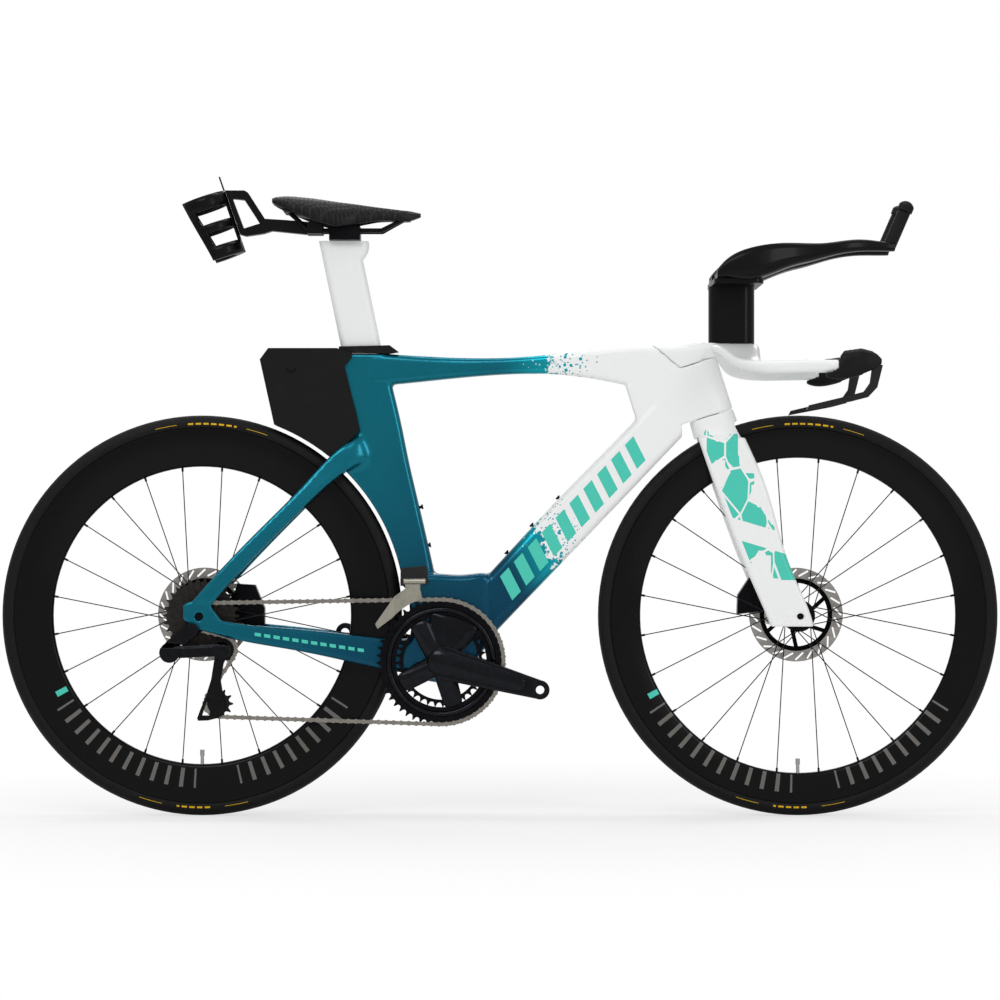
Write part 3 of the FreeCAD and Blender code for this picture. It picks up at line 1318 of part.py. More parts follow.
def seatpost():
    """Seatpost with its head drawn forward under the saddle clamp."""
    slope = 1 / math.tan(math.radians(SEATPOST_ANGLE))
    foot = spot(SEATPOST_FOOT_SHARES)
    half = SEATPOST_CHORD / 2
    sections = []
    for share, reach in SEATPOST_HEAD_SHARES:
        rise = SEATPOST_RISE + SEATPOST_HEAD_HEIGHT * share
        middle = foot + Vector(-slope, 0, 1) * rise
        start = middle - FORWARD * half
        end = middle + FORWARD * (half + SEATPOST_HEAD_REACH * reach)
        sections.append(edge_section(start, end, SEATPOST_HALF, BLADE_CORNER_SHARE))
    return joined([seatpost_form(0, 0, SEATPOST_RISE), loft(sections)])


def rail_points(side):
    """Bends of one saddle rail."""
    gauges = (RAIL_HALF_GAUGE, RAIL_HALF_GAUGE, RAIL_HALF_GAUGE, RAIL_NOSE_HALF_GAUGE)
    return [spot(point, side * gauge) for point, gauge in zip(RAIL_SHARES, gauges)]


def rail(side):
    """One saddle rail with round bends."""
    points = rail_points(side)
    pieces = [rod(start, end, RAIL_RADIUS) for start, end in zip(points, points[1:])]
    return joined(pieces + [Part.makeSphere(RAIL_RADIUS, point) for point in points[1:-1]])


def saddle_rails(shell):
    """Both saddle rails, ending in the shell."""
    return group([largest(rail(side).cut(shell)) for side in SIDES])


def saddle_clamp(rails):
    """Clamp block on the seatpost's head that holds both rails, with its cross bolt."""
    rear, front = (spot(point) for point in CLAMP_SHARES)
    top = spot(RAIL_SHARES[1]).z + CLAMP_TOP_RISE
    corners = [rear, front, front + UP * (top - front.z), rear + UP * (top - rear.z)]
    block = plate(corners, -CLAMP_HALF_WIDTH, CLAMP_HALF_WIDTH)
    middle = (rear + front) * 0.5 + UP * (CLAMP_TOP_RISE - RAIL_RADIUS / 2)
    reach = CLAMP_HALF_WIDTH + RAIL_RADIUS
    cross = cross_rod(middle, CLAMP_BOLT_RADIUS, -reach, reach)
    return group([largest(block.cut([rails, cross])), cross])


def saddle_roof(low, high):
    """Height share of the saddle's hollow underside."""
    return low + (high - low) * SADDLE_ROOF_SHARE


def saddle_cover():
    """Padded saddle cover with skirts, hollow underneath."""
    rows = [(forward, low, high, 0, width) for forward, low, high, width in SADDLE_SHARES]
    form = upright_loft(rows, 0, SADDLE_HALF_WIDTH, SADDLE_CORNER_SHARE)
    drop = SADDLE_SHELL_HEIGHT / WHEELBASE
    under = []
    for forward, low, high, width in SADDLE_SHARES[1:-1]:
        under.append((forward, low - drop, saddle_roof(low, high), 0, width * SADDLE_INNER_SHARE))
    return largest(form.cut(upright_loft(under, 0, SADDLE_HALF_WIDTH, BOX_CORNER_SHARE)))


def saddle_shell(cover):
    """Stiff shell under the saddle's padding."""
    thickness = SADDLE_SHELL_INSET / WHEELBASE
    rows = []
    for forward, low, high, width in SADDLE_SHARES[1:-1]:
        roof = saddle_roof(low, high)
        rows.append((forward, roof - thickness, roof, 0, width * SADDLE_INNER_SHARE * SADDLE_INNER_SHARE))
    return largest(upright_loft(rows, 0, SADDLE_HALF_WIDTH, BOX_CORNER_SHARE).cut(cover))


def cage_directions():
    """Bottle cage's middle, its axis and the way towards its back plate."""
    lean = math.radians(CAGE_LEAN)
    axis = Vector(-math.sin(lean), 0, math.cos(lean))
    back = Vector(math.cos(lean), 0, math.sin(lean))
    return spot(CAGE_MIDDLE_SHARES), axis, back


def cage_tube(outer, inner, low, high):
    """Ring about the bottle cage's axis between two heights."""
    middle, axis, _ = cage_directions()
    ring = rod(middle + axis * low, middle + axis * high, outer)
    return ring.cut(rod(middle + axis * low, middle + axis * high, inner))


def cage_slab(half_width, near, far):
    """Upright slab across the bottle cage between two places along its back direction."""
    middle, axis, back = cage_directions()
    corners = [middle + back * place + axis * (height * CAGE_HALF_LENGTH * 2)
        for place, height in ((near, -1), (far, -1), (far, 1), (near, 1))]
    return plate(corners, -half_width, half_width)


def bottle_cage():
    """Bottle cage with side windows, an open mouth, a floor ring and a hook at the top."""
    middle, axis, back = cage_directions()
    outer = CAGE_RADIUS + CAGE_WALL
    wall = cage_tube(outer, CAGE_RADIUS, -CAGE_HALF_LENGTH, CAGE_HALF_LENGTH)
    mouth = cage_slab(CAGE_MOUTH_HALF, -outer * 2, 0)
    windows = []
    for side in SIDES:
        place = middle + axis * (side * CAGE_WINDOW_RISE)
        windows.append(cross_rod(place, CAGE_WINDOW_RADIUS, -outer * 2, outer * 2))
    floor = cage_tube(outer, CAGE_FLOOR_HOLE, -CAGE_HALF_LENGTH, CAGE_FLOOR - CAGE_HALF_LENGTH)
    strip = cage_tube(outer, CAGE_RADIUS, -CAGE_HALF_LENGTH, CAGE_HALF_LENGTH + CAGE_HOOK_RISE)
    strip = strip.common(cage_slab(CAGE_BACK_HALF, 0, outer * 2))
    return joined([wall.cut([mouth] + windows), floor, strip])


def bottle_carrier(others):
    """Carrier arm from the saddle rails to the bottle cage's back."""
    middle, axis, _ = cage_directions()
    arm = plate([spot(point) for point in CARRIER_ARM_SHARES], -CARRIER_HALF_WIDTH, CARRIER_HALF_WIDTH)
    truss = plate([spot(point) for point in CARRIER_TRUSS_SHARES], -CARRIER_HALF_WIDTH, CARRIER_HALF_WIDTH)
    foot = [spot(point) for point in CARRIER_ARM_SHARES[2:]]
    foot = plate(foot + [Vector(foot[2].x, 0, foot[0].z)], -CARRIER_CLAMP_HALF, CARRIER_CLAMP_HALF)
    bottle = rod(middle - axis * OVERRUN * 2, middle + axis * OVERRUN * 2, CAGE_RADIUS + CAGE_WALL)
    return largest(joined([arm, truss, foot]).cut([bottle] + others))


# Drivetrain

def crank_arm(side, turn):
    """Crank arm with its boss and its pedal hole."""
    angle = math.radians(-CRANK_DROP + turn)
    way = Vector(math.cos(angle), 0, math.sin(angle))
    across = Vector(-way.z, 0, way.x)
    half = CRANK_THICKNESS / 2
    root = BB + LEFT * (side * (CRANK_INNER + half))
    tip = root + way * CRANK_LENGTH + LEFT * (side * CRANK_FLARE)
    sections = []
    for share in CRANK_SECTION_SHARES:
        wide = CRANK_ROOT_HALF + (CRANK_TIP_HALF - CRANK_ROOT_HALF) * share
        middle = root + (tip - root) * share
        sections.append(rounded_section(middle, across, LEFT, wide, half, TUBE_CORNER_SHARE * half))
    low, high = sorted((side * (CRANK_INNER + CRANK_THICKNESS), side * (INNER_RING_LINE + PART_GAP)))
    boss = cross_rod(BB, CRANK_BOSS_RADIUS, low, high)
    end = cross_rod(tip, CRANK_TIP_HALF, tip.y - half, tip.y + half)
    hole = cross_rod(tip, PEDAL_THREAD_RADIUS, tip.y - OVERRUN, tip.y + OVERRUN)
    return joined([loft(sections), boss, end]).cut(hole)


def spider_ways():
    """Directions of the spider's arms."""
    angles = [math.radians(angle - CRANK_DROP) for angle in SPIDER_ANGLES]
    return [Vector(math.cos(angle), 0, math.sin(angle)) for angle in angles]


def ring_bolt_holes():
    """Bolt holes through the spider and both chainrings."""
    reach = RING_BOLT_RADIUS + RUN_GAP
    return [cross_rod(BB + way * BOLT_CIRCLE_RADIUS, reach, -WHEELBASE, 0) for way in spider_ways()]


def right_crank():
    """Right crank with its spider and its spindle."""
    low = -RING_LINE + RING_THICKNESS / 2
    high = -INNER_RING_LINE - RING_THICKNESS / 2
    arms = []
    for way in spider_ways():
        tip = BB + way * BOLT_CIRCLE_RADIUS
        arms.append(bar_plate(BB, tip, SPIDER_HALF_WIDTH, SPIDER_TIP_HALF, low, high))
    body = joined([crank_arm(-1, 0)] + arms).cut(ring_bolt_holes())
    reach = CRANK_INNER + CRANK_THICKNESS
    body = joined([body, cross_rod(BB, SPINDLE_RADIUS, -reach, reach)])
    return body.cut(cross_rod(BB, SPINDLE_BORE_RADIUS, -WHEELBASE, WHEELBASE))


def left_crank():
    """Left crank on the spindle's end."""
    return crank_arm(1, 180).cut(cross_rod(BB, SPINDLE_RADIUS + RUN_GAP, -WHEELBASE, WHEELBASE))


def chainring(teeth, phase, line, band):
    """Toothed ring with tabs for the spider's bolts."""
    inner = pitch_radius(teeth) - band
    half = RING_THICKNESS / 2
    ring = toothed_disc(teeth, phase, RING_THICKNESS, inner, BB, -line)
    tabs = []
    for way in spider_ways():
        start = BB + way * BOLT_CIRCLE_RADIUS
        end = BB + way * (inner + ROLLER_RADIUS / 2)
        tabs.append(bar_plate(start, end, TAB_HALF_WIDTH, TAB_HALF_WIDTH, -line - half, -line + half))
    return joined([ring] + [tab.cut(tooth_space(teeth)) for tab in tabs]).cut(ring_bolt_holes())


def tooth_space(teeth):
    """Ring-shaped space of a toothed wheel's teeth."""
    inner = pitch_radius(teeth) - ROLLER_RADIUS - PART_GAP
    outer = cross_rod(BB, WHEELBASE, -WHEELBASE, WHEELBASE)
    return outer.cut(cross_rod(BB, inner, -WHEELBASE, WHEELBASE))


def chainrings():
    """Outer and inner chainring with their bolts."""
    phase = seat_phase(CHAIN_PINS, BB, pitch_radius(RING_TEETH))
    outer = chainring(RING_TEETH, phase, RING_LINE, RING_BAND)
    inner = chainring(INNER_RING_TEETH, phase, INNER_RING_LINE, INNER_RING_BAND)
    low = -RING_LINE - RING_THICKNESS / 2
    high = -INNER_RING_LINE + RING_THICKNESS / 2
    bolts = []
    for way in spider_ways():
        place = BB + way * BOLT_CIRCLE_RADIUS
        shank = cross_rod(place, RING_BOLT_RADIUS, low - RING_BOLT_HEAD_HEIGHT, high)
        head = cross_rod(place, RING_BOLT_HEAD, low - RING_BOLT_HEAD_HEIGHT, low)
        bolts.append(joined([shank, head]))
    return group([outer, inner] + bolts)


def cassette():
    """Twelve cogs, a lockring and the freehub body that carries them."""
    phase = seat_phase(CHAIN_PINS, REAR_AXLE, pitch_radius(COG_TEETH[0]))
    first = -COG_LINE - COG_THICKNESS / 2
    last = -COG_LINE + COG_SPACING * (len(COG_TEETH) - 1) + COG_THICKNESS / 2
    bore = FREEHUB_RADIUS + RUN_GAP
    pieces = []
    for place, teeth in enumerate(COG_TEETH):
        line = -COG_LINE + COG_SPACING * place
        pieces.append(toothed_disc(teeth, phase, COG_THICKNESS, bore, REAR_AXLE, line))
        if place:
            low = line - COG_SPACING + COG_THICKNESS / 2
            spacer = cross_rod(REAR_AXLE, bore + COG_SPACER_WALL, low, line - COG_THICKNESS / 2)
            pieces.append(spacer.cut(cross_rod(REAR_AXLE, bore, -WHEELBASE, WHEELBASE)))
    body = cross_rod(REAR_AXLE, FREEHUB_RADIUS, first, last)
    lock = cross_rod(REAR_AXLE, FREEHUB_RADIUS + COG_SPACER_WALL, first - LOCKRING_HEIGHT, first)
    body = joined([body, lock]).cut(cross_rod(REAR_AXLE, FREEHUB_BORE, -WHEELBASE, WHEELBASE))
    return group([body] + pieces)


def link_plate(low, high):
    """Waisted chain plate lying along the forward direction, between two sideways places."""
    half = PITCH / 2
    reach = CHAIN_PLATE_RADIUS * math.sqrt(0.5)
    waist = CHAIN_PLATE_RADIUS * CHAIN_WAIST_SHARE

    def at(forward, up):
        return Vector(forward, low, up)

    ends = [at(half - reach, reach), at(half - reach, -reach)]
    ends += [at(reach - half, -reach), at(reach - half, reach)]
    edges = [
        Part.Arc(ends[0], at(half + CHAIN_PLATE_RADIUS, 0), ends[1]).toShape(),
        Part.Arc(ends[1], at(0, -waist), ends[2]).toShape(),
        Part.Arc(ends[2], at(-half - CHAIN_PLATE_RADIUS, 0), ends[3]).toShape(),
        Part.Arc(ends[3], at(0, waist), ends[0]).toShape(),
    ]
    return Part.Face(Part.Wire(edges)).extrude(LEFT * (high - low))


def chain_link(outer):
    """Outer link of plates and pins, or inner link of plates and bored rollers."""
    inner_face = CHAIN_INNER_HALF
    if outer:
        inner_face = CHAIN_INNER_HALF + CHAIN_PLATE + CHAIN_PLATE_GAP
    outer_face = inner_face + CHAIN_PLATE
    pieces = [link_plate(-outer_face, -inner_face), link_plate(inner_face, outer_face)]
    for side in SIDES:
        place = FORWARD * (side * PITCH / 2)
        radius = PIN_RADIUS if outer else ROLLER_RADIUS
        reach = outer_face if outer else inner_face
        pieces.append(cross_rod(place, radius, -reach, reach))
    link = joined(pieces)
    if outer:
        return link
    bore = PIN_RADIUS + SEAT_CLEARANCE
    return link.cut([cross_rod(FORWARD * (side * PITCH / 2), bore, -PITCH, PITCH) for side in SIDES])


def chain():
    """Roller chain, link by link, from pin to pin along its path."""
    links = (chain_link(False), chain_link(True))
    pieces = []
    for place, start in enumerate(CHAIN_PINS):
        end = CHAIN_PINS[(place + 1) % CHAIN_LINKS]
        along = unit(end - start)
        across = unit(LEFT - along * LEFT.dot(along))
        above = along.cross(across)
        middle = (start + end) * 0.5
        matrix = FreeCAD.Matrix(along.x, across.x, above.x, middle.x, along.y, across.y, above.y, middle.y,
            along.z, across.z, above.z, middle.z, 0, 0, 0, 1)
        piece = links[place % 2].copy()
        piece.Placement = FreeCAD.Placement(matrix)
        pieces.append(piece)
    return group(pieces)


# Derailleurs

def shift_axis():
    """Direction of the rear derailleur's slanted pivots."""
    slant = math.radians(SHIFT_SLANT)
    return Vector(0, math.sin(slant), math.cos(slant))


def shift_pivots():
    """Middles of the rear derailleur's two pivots, in one plane square to them."""
    rear = spot(REAR_KNUCKLE_SHARES, -DERAILLEUR_LINE)
    front = spot(CAGE_PIVOT_SHARES, -DERAILLEUR_LINE)
    axis = shift_axis()
    return rear, front - LEFT * ((front - rear).dot(axis) / axis.y)


def link_swing(pivot):
    """Space in which the link turns about a pivot."""
    axis = shift_axis()
    half = LINK_HALF_HEIGHT + SEAT_GAP
    return rod(pivot - axis * half, pivot + axis * half, OVERRUN)


def forked(body, pivot):
    """A knuckle split by its link's slot, with the pivot pin across the slot."""
    reach = shift_axis() * (LINK_HALF_HEIGHT + SEAT_GAP + LINK_BORE_RADIUS)
    return joined([body.cut(link_swing(pivot)), rod(pivot - reach, pivot + reach, LINK_BORE_RADIUS)])


def derailleur_base():
    """Rear derailleur's fixed knuckle and its arm to the hanger."""
    rear, _ = shift_pivots()
    low = -DERAILLEUR_LINE - KNUCKLE_HALF
    knuckle = cross_rod(rear, KNUCKLE_RADIUS, low, -DROPOUT_INNER - DROPOUT_THICKNESS)
    start = spot(HANGER_BOLT_SHARES)
    end = Vector(rear.x, 0, rear.z + KNUCKLE_RADIUS * KNUCKLE_ARM_SHARE)
    face = -DROPOUT_INNER - DROPOUT_THICKNESS
    arm = bar_plate(start, end, LINK_HALF_WIDTH, KNUCKLE_RADIUS / 2, face - LINK_HALF_WIDTH, face)
    return forked(joined([knuckle, arm]), rear)


def derailleur_link():
    """Slanted link between the rear derailleur's knuckles."""
    axis = shift_axis()
    rear, front = shift_pivots()
    along = unit(front - rear)
    across = axis.cross(along)
    half = LINK_HALF_HEIGHT
    pieces = []
    for pivot in (rear, front):
        pieces.append(rod(pivot - axis * half, pivot + axis * half, LINK_HALF_WIDTH))
    section = rounded_section(rear, across, axis, LINK_HALF_WIDTH, half, TUBE_CORNER_SHARE * half)
    pieces.append(Part.Face(section).extrude(front - rear))
    bore = LINK_BORE_RADIUS + RUN_GAP
    past = axis * OVERRUN
    return joined(pieces).cut([rod(pivot - past, pivot + past, bore) for pivot in (rear, front)])


def cage_faces():
    """Sideways faces of the derailleur cage's plates, from the outside in."""
    outer = -COG_LINE - CAGE_INNER_HALF
    inner = -COG_LINE + CAGE_INNER_HALF
    return outer - CAGE_PLATE, outer, inner, inner + CAGE_PLATE


def derailleur_knuckle():
    """Moving knuckle with the pin on which the cage turns."""
    _, front = shift_pivots()
    faces = cage_faces()
    body = cross_rod(front, CAGE_PIVOT_RADIUS, front.y - KNUCKLE_HALF, faces[0] - PART_GAP)
    pin = cross_rod(front, PULLEY_BORE, faces[0] - KNUCKLE_HALF / 2, faces[1] - SEAT_GAP)
    return joined([forked(body, front), pin.cut(link_swing(front))])


def derailleur_cage():
    """Cage plates with the axles of both pulleys."""
    faces = cage_faces()
    ends = (GUIDE_PULLEY, TENSION_PULLEY)
    outer = bar_plate(ends[0], ends[1], CAGE_PLATE_HALF, CAGE_PLATE_WAIST, faces[0], faces[1])
    outer = outer.cut(cross_rod(GUIDE_PULLEY, PULLEY_BORE + RUN_GAP, faces[0], faces[1] - SEAT_GAP))
    inner = bar_plate(ends[0], ends[1], CAGE_PLATE_HALF, CAGE_PLATE_WAIST, faces[2], faces[3])
    axles = [cross_rod(end, PULLEY_BORE - RUN_GAP, faces[1] - SEAT_GAP, faces[2]) for end in ends]
    return joined([outer, inner] + axles)


def pulley(centre):
    """Jockey wheel in mesh with the chain."""
    phase = seat_phase(CHAIN_PINS, centre, pitch_radius(PULLEY_TEETH))
    return toothed_disc(PULLEY_TEETH, phase, PULLEY_THICKNESS, PULLEY_BORE, centre, -COG_LINE)


def front_mech_pivot():
    """Middle of the front derailleur's pivot, over the outer chainring."""
    return spot(FRONT_MECH_PIVOT_SHARES, -FRONT_MECH_BODY_OUTER - FRONT_MECH_PIVOT_RADIUS - PART_GAP)


def front_mech_ends():
    """Rear and front of the front derailleur's pivot pin."""
    pivot = front_mech_pivot()
    rear = spot(FRONT_MECH_BODY_SHARES[0]).x
    front = spot(FRONT_MECH_BODY_SHARES[3]).x
    return Vector(rear, pivot.y, pivot.z), Vector(front, pivot.y, pivot.z)


def front_mech_body(others):
    """Front derailleur's motor body on the seat tube, with two ears and the cage's pin."""
    outline = [spot(point) for point in FRONT_MECH_BODY_SHARES]
    body = largest(plate(outline, -FRONT_MECH_BODY_OUTER, -FRONT_MECH_BODY_INNER).cut(others))
    rear, front = front_mech_ends()
    ear = FORWARD * FRONT_MECH_PIVOT_RADIUS
    reach = Part.makeBox(ear.x, FRONT_MECH_EAR_REACH, FRONT_MECH_PIVOT_RADIUS * 2,
        rear - LEFT * FRONT_MECH_PIVOT_RADIUS - UP * FRONT_MECH_PIVOT_RADIUS)
    ears = [reach, reach.translated(front - rear - ear)]
    return joined([body] + ears + [rod(rear, front, FRONT_MECH_PIVOT_RADIUS / 2)])


def front_mech_cage():
    """Front derailleur's chain cage, hung on its pivot pin, over the teeth, with its inner plate cut beside the frame."""
    outline = [spot(point) for point in FRONT_MECH_CAGE_SHARES]
    inner = FRONT_MECH_CAGE_HALF
    outer = FRONT_MECH_CAGE_HALF + FRONT_MECH_PLATE
    teeth = cross_rod(BB, tip_radius(RING_TEETH) + FRONT_MECH_TOOTH_GAP, -RING_LINE - OVERRUN, -RING_LINE + OVERRUN)
    depth = front_mech_pivot().z - FRONT_MECH_INNER_DEPTH
    low = min(point.z for point in outline) - OVERRUN
    left = spot(BB_BLOCK_SHARES[0][0]).x - FRONT_MECH_FRAME_GAP
    right = max(point.x for point in outline) + OVERRUN
    below = Part.makeBox(right - left, outer * 2, depth - low, Vector(left, -RING_LINE, low))
    plates = [plate(outline, -RING_LINE - outer, -RING_LINE - inner).cut(teeth)]
    plates.append(plate(outline, -RING_LINE + inner, -RING_LINE + outer).cut(teeth).cut(below))
    top = outline[0]
    back = outline[-1]
    drop = UP * (FRONT_MECH_PLATE * 2)
    bridge = plate([top, back, back - drop, top - drop], -RING_LINE - outer, -RING_LINE + outer)
    rear, front = front_mech_ends()
    gap = FORWARD * (FRONT_MECH_PIVOT_RADIUS + SEAT_GAP)
    barrel = rod(rear + gap, front - gap, FRONT_MECH_PIVOT_RADIUS)
    web = plate([top, back, back + UP * (rear.z - back.z), top + UP * (rear.z - top.z)],
        rear.y - FRONT_MECH_PLATE, rear.y + FRONT_MECH_PLATE)
    return joined(plates + [bridge, barrel, web]).cut(rod(rear, front, FRONT_MECH_PIVOT_RADIUS / 2 + RUN_GAP))


# Assembly

def wheel_nodes(name, axle, depth, reaches, make_hub, line):
    """Tyre, rim, spokes, hub, rotor and valve of one wheel."""
    lines = spoke_lines(depth, reaches[0], reaches[1], axle)
    return {
        name + "_tyre": tyre(axle),
        name + "_rim": rim(axle, depth, lines),
        name + "_spokes": spokes(lines),
        name + "_hub": make_hub(lines),
        name + "_rotor": rotor(axle, line),
        name + "_valve": valve(axle, depth),
    }


def frame_nodes():
    """Frame pieces, each fitted to its neighbours."""
    head = head_form()
    seat = seat_form()
    post_space = seatpost_form(SEAT_GAP, SEATPOST_TRAVEL + PART_GAP, SEATPOST_RISE)
    top = top_tube(seat)
    bb = bb_shell(seat)
    bolts = cage_bolts()
    crown_space = steer_cylinder(-OVERRUN * 4, 0, CROWN_SWEEP + PART_GAP)
    down = largest(down_form().cut([head, bb_form(), seat, crown_space, top, bolts]))
    insert = hanger()
    lower_stays = chainstays(insert)
    upper_stays = seatstays(seat)
    box = storage_box([seat, upper_stays, post_space])
    cover = clamp_cover([seat, top, box_form()])
    mech = front_mech_body([seat, bb])
    return {
        "head_tube": head_tube(),
        "top_tube": top.cut(post_space),
        "down_tube": down,
        "seat_tube": largest(seat.cut([post_space, bolts])),
        "bottom_bracket_shell": bb,
        "chainstays": lower_stays,
        "seatstays": upper_stays,
        "derailleur_hanger": insert,
        "frame_bearings": frame_bearings(),
        "seat_clamp_cover": cover,
        "storage_box": box,
        "storage_lid": storage_lid(),
        "cage_bolts": bolts,
        "rear_thru_axle": thru_axle(REAR_AXLE, DROPOUT_INNER, DROPOUT_THICKNESS),
        "rear_caliper": caliper(REAR_CALIPER_SHARES, REAR_AXLE, REAR_ROTOR_LINE, [lower_stays, upper_stays]),
        "front_derailleur_body": mech,
        "front_derailleur_cage": front_mech_cage(),
        "rear_derailleur_base": derailleur_base(),
        "rear_derailleur_link": derailleur_link(),
        "rear_derailleur_knuckle": derailleur_knuckle(),
        "rear_derailleur_cage": derailleur_cage(),
        "guide_pulley": pulley(GUIDE_PULLEY),
        "tension_pulley": pulley(TENSION_PULLEY),
        "chain": chain(),
    }


def saddle_nodes():
    """Seatpost, saddle and rear bottle carrier."""
    cover = saddle_cover()
    shell = saddle_shell(cover)
    rails = saddle_rails(shell)
    clamp = saddle_clamp(rails)
    return {
        "seatpost": seatpost(),
        "saddle_clamp": clamp,
        "saddle_rails": rails,
        "saddle_shell": shell,
        "saddle_cover": cover,
        "bottle_carrier": bottle_carrier([rails, clamp, cover]),
        "bottle_cage": bottle_cage(),
    }


def steering_nodes():
    """Fork, base bar, armrests and brake levers."""
    bar = base_bar()
    riser = armrest_riser(bar)
    arm = extension(riser)
    lever = brake_lever()
    button = shift_button()
    forks = fork()
    return {
        "fork": forks,
        "base_bar": bar,
        "armrest_riser": riser,
        "extensions": both_sides(arm),
        "arm_pads": both_sides(arm_pad()),
        "extension_grips": both_sides(grip(arm)),
        "lever_bodies": both_sides(lever_body()),
        "front_thru_axle": thru_axle(FRONT_AXLE, FORK_DROPOUT_INNER, FORK_HALF),
        "front_caliper": caliper(FRONT_CALIPER_SHARES, FRONT_AXLE, FRONT_ROTOR_LINE, [forks]),
        "brake_lever_right": lever,
        "brake_lever_left": mirrored(lever),
        "shift_button_right": button,
        "shift_button_left": mirrored(button),
    }


def crank_nodes():
    """Cranks, chainrings and cassette."""
    return {
        "right_crank": right_crank(),
        "left_crank": left_crank(),
        "chainrings": chainrings(),
        "cassette": cassette(),
    }


def main():
    """Builds every node and writes it as a STEP file."""
    nodes = frame_nodes()
    nodes.update(saddle_nodes())
    nodes.update(steering_nodes())
    nodes.update(crank_nodes())
    reaches = (FRONT_FLANGE_REACH - FLANGE_THICKNESS / 2, FRONT_FLANGE_REACH)
    nodes.update(wheel_nodes("front", FRONT_AXLE, FRONT_RIM_DEPTH, reaches, front_hub, FRONT_ROTOR_LINE))
    reaches = (REAR_FLANGE_LEFT, REAR_FLANGE_RIGHT)
    nodes.update(wheel_nodes("rear", REAR_AXLE, REAR_RIM_DEPTH, reaches, rear_hub, REAR_ROTOR_LINE))
    os.makedirs("parts", exist_ok=True)
    for name, shape in nodes.items():
        shape.exportStep("parts/" + name + ".step")


main()
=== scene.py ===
import logging
import math
from dataclasses import dataclass
from enum import Enum
from typing import Any, Optional, Sequence, Union

import bpy
import numpy as np
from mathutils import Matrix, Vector
from mathutils.geometry import tessellate_polygon


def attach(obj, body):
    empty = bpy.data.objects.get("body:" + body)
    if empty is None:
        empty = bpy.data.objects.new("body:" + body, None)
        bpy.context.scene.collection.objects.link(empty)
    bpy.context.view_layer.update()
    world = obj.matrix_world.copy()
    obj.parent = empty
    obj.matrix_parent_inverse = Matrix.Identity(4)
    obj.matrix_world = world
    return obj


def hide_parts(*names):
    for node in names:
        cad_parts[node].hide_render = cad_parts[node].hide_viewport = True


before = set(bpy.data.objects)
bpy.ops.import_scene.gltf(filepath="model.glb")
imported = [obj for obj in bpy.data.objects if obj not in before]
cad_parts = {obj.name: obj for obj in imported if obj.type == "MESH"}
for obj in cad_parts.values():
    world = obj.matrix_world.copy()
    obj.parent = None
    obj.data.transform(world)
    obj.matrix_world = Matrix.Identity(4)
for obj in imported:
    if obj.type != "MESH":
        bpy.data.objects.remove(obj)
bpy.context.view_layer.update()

logging.basicConfig(level=logging.INFO, format="%(message)s")
LOG = logging.getLogger("bike")

Socket = bpy.types.NodeSocket
Material = bpy.types.Material
Colour = tuple[float, float, float, float]
Spot = tuple[float, float]
Triple = tuple[float, float, float]
Shape = tuple[np.ndarray, list[tuple[int, ...]]]

REAR_AXLE: Spot = (-0.505, 0.339)
FRONT_AXLE: Spot = (0.505, 0.339)
WHITE: Colour = (1.0, 1.0, 1.0, 1.0)
MINT = "#4fd0bb"
MILLIMETRES = 1000.0


def linear(code: str) -> Colour:
    """Turns an sRGB hex code into a linear colour.

    Args:
        code: Six hex digits after a hash sign.

    Returns:
        Linear red, green, blue and an alpha of one.
    """
    parts = [int(code[place:place + 2], 16) / 255 for place in (1, 3, 5)]
    light = [part / 12.92 if part <= 0.04045 else ((part + 0.055) / 1.055) ** 2.4 for part in parts]
    return (light[0], light[1], light[2], 1.0)


def add_node(tree: bpy.types.NodeTree, kind: str, inputs: Optional[dict[Any, Any]] = None,
             **settings: Any) -> bpy.types.Node:
    """Adds one shader node with its settings and links.

    Args:
        tree: Node tree that takes the node.
        kind: Blender's name for the node type.
        inputs: Socket names or places with a constant, a term or a socket to link.
        **settings: Attributes of the node.

    Returns:
        The new node.
    """
    node = tree.nodes.new(kind)
    for name, value in settings.items():
        setattr(node, name, value)
    for key, value in (inputs or {}).items():
        source = value.socket if isinstance(value, Term) else value
        if isinstance(source, Socket):
            tree.links.new(source, node.inputs[key])
        else:
            node.inputs[key].default_value = source
    return node


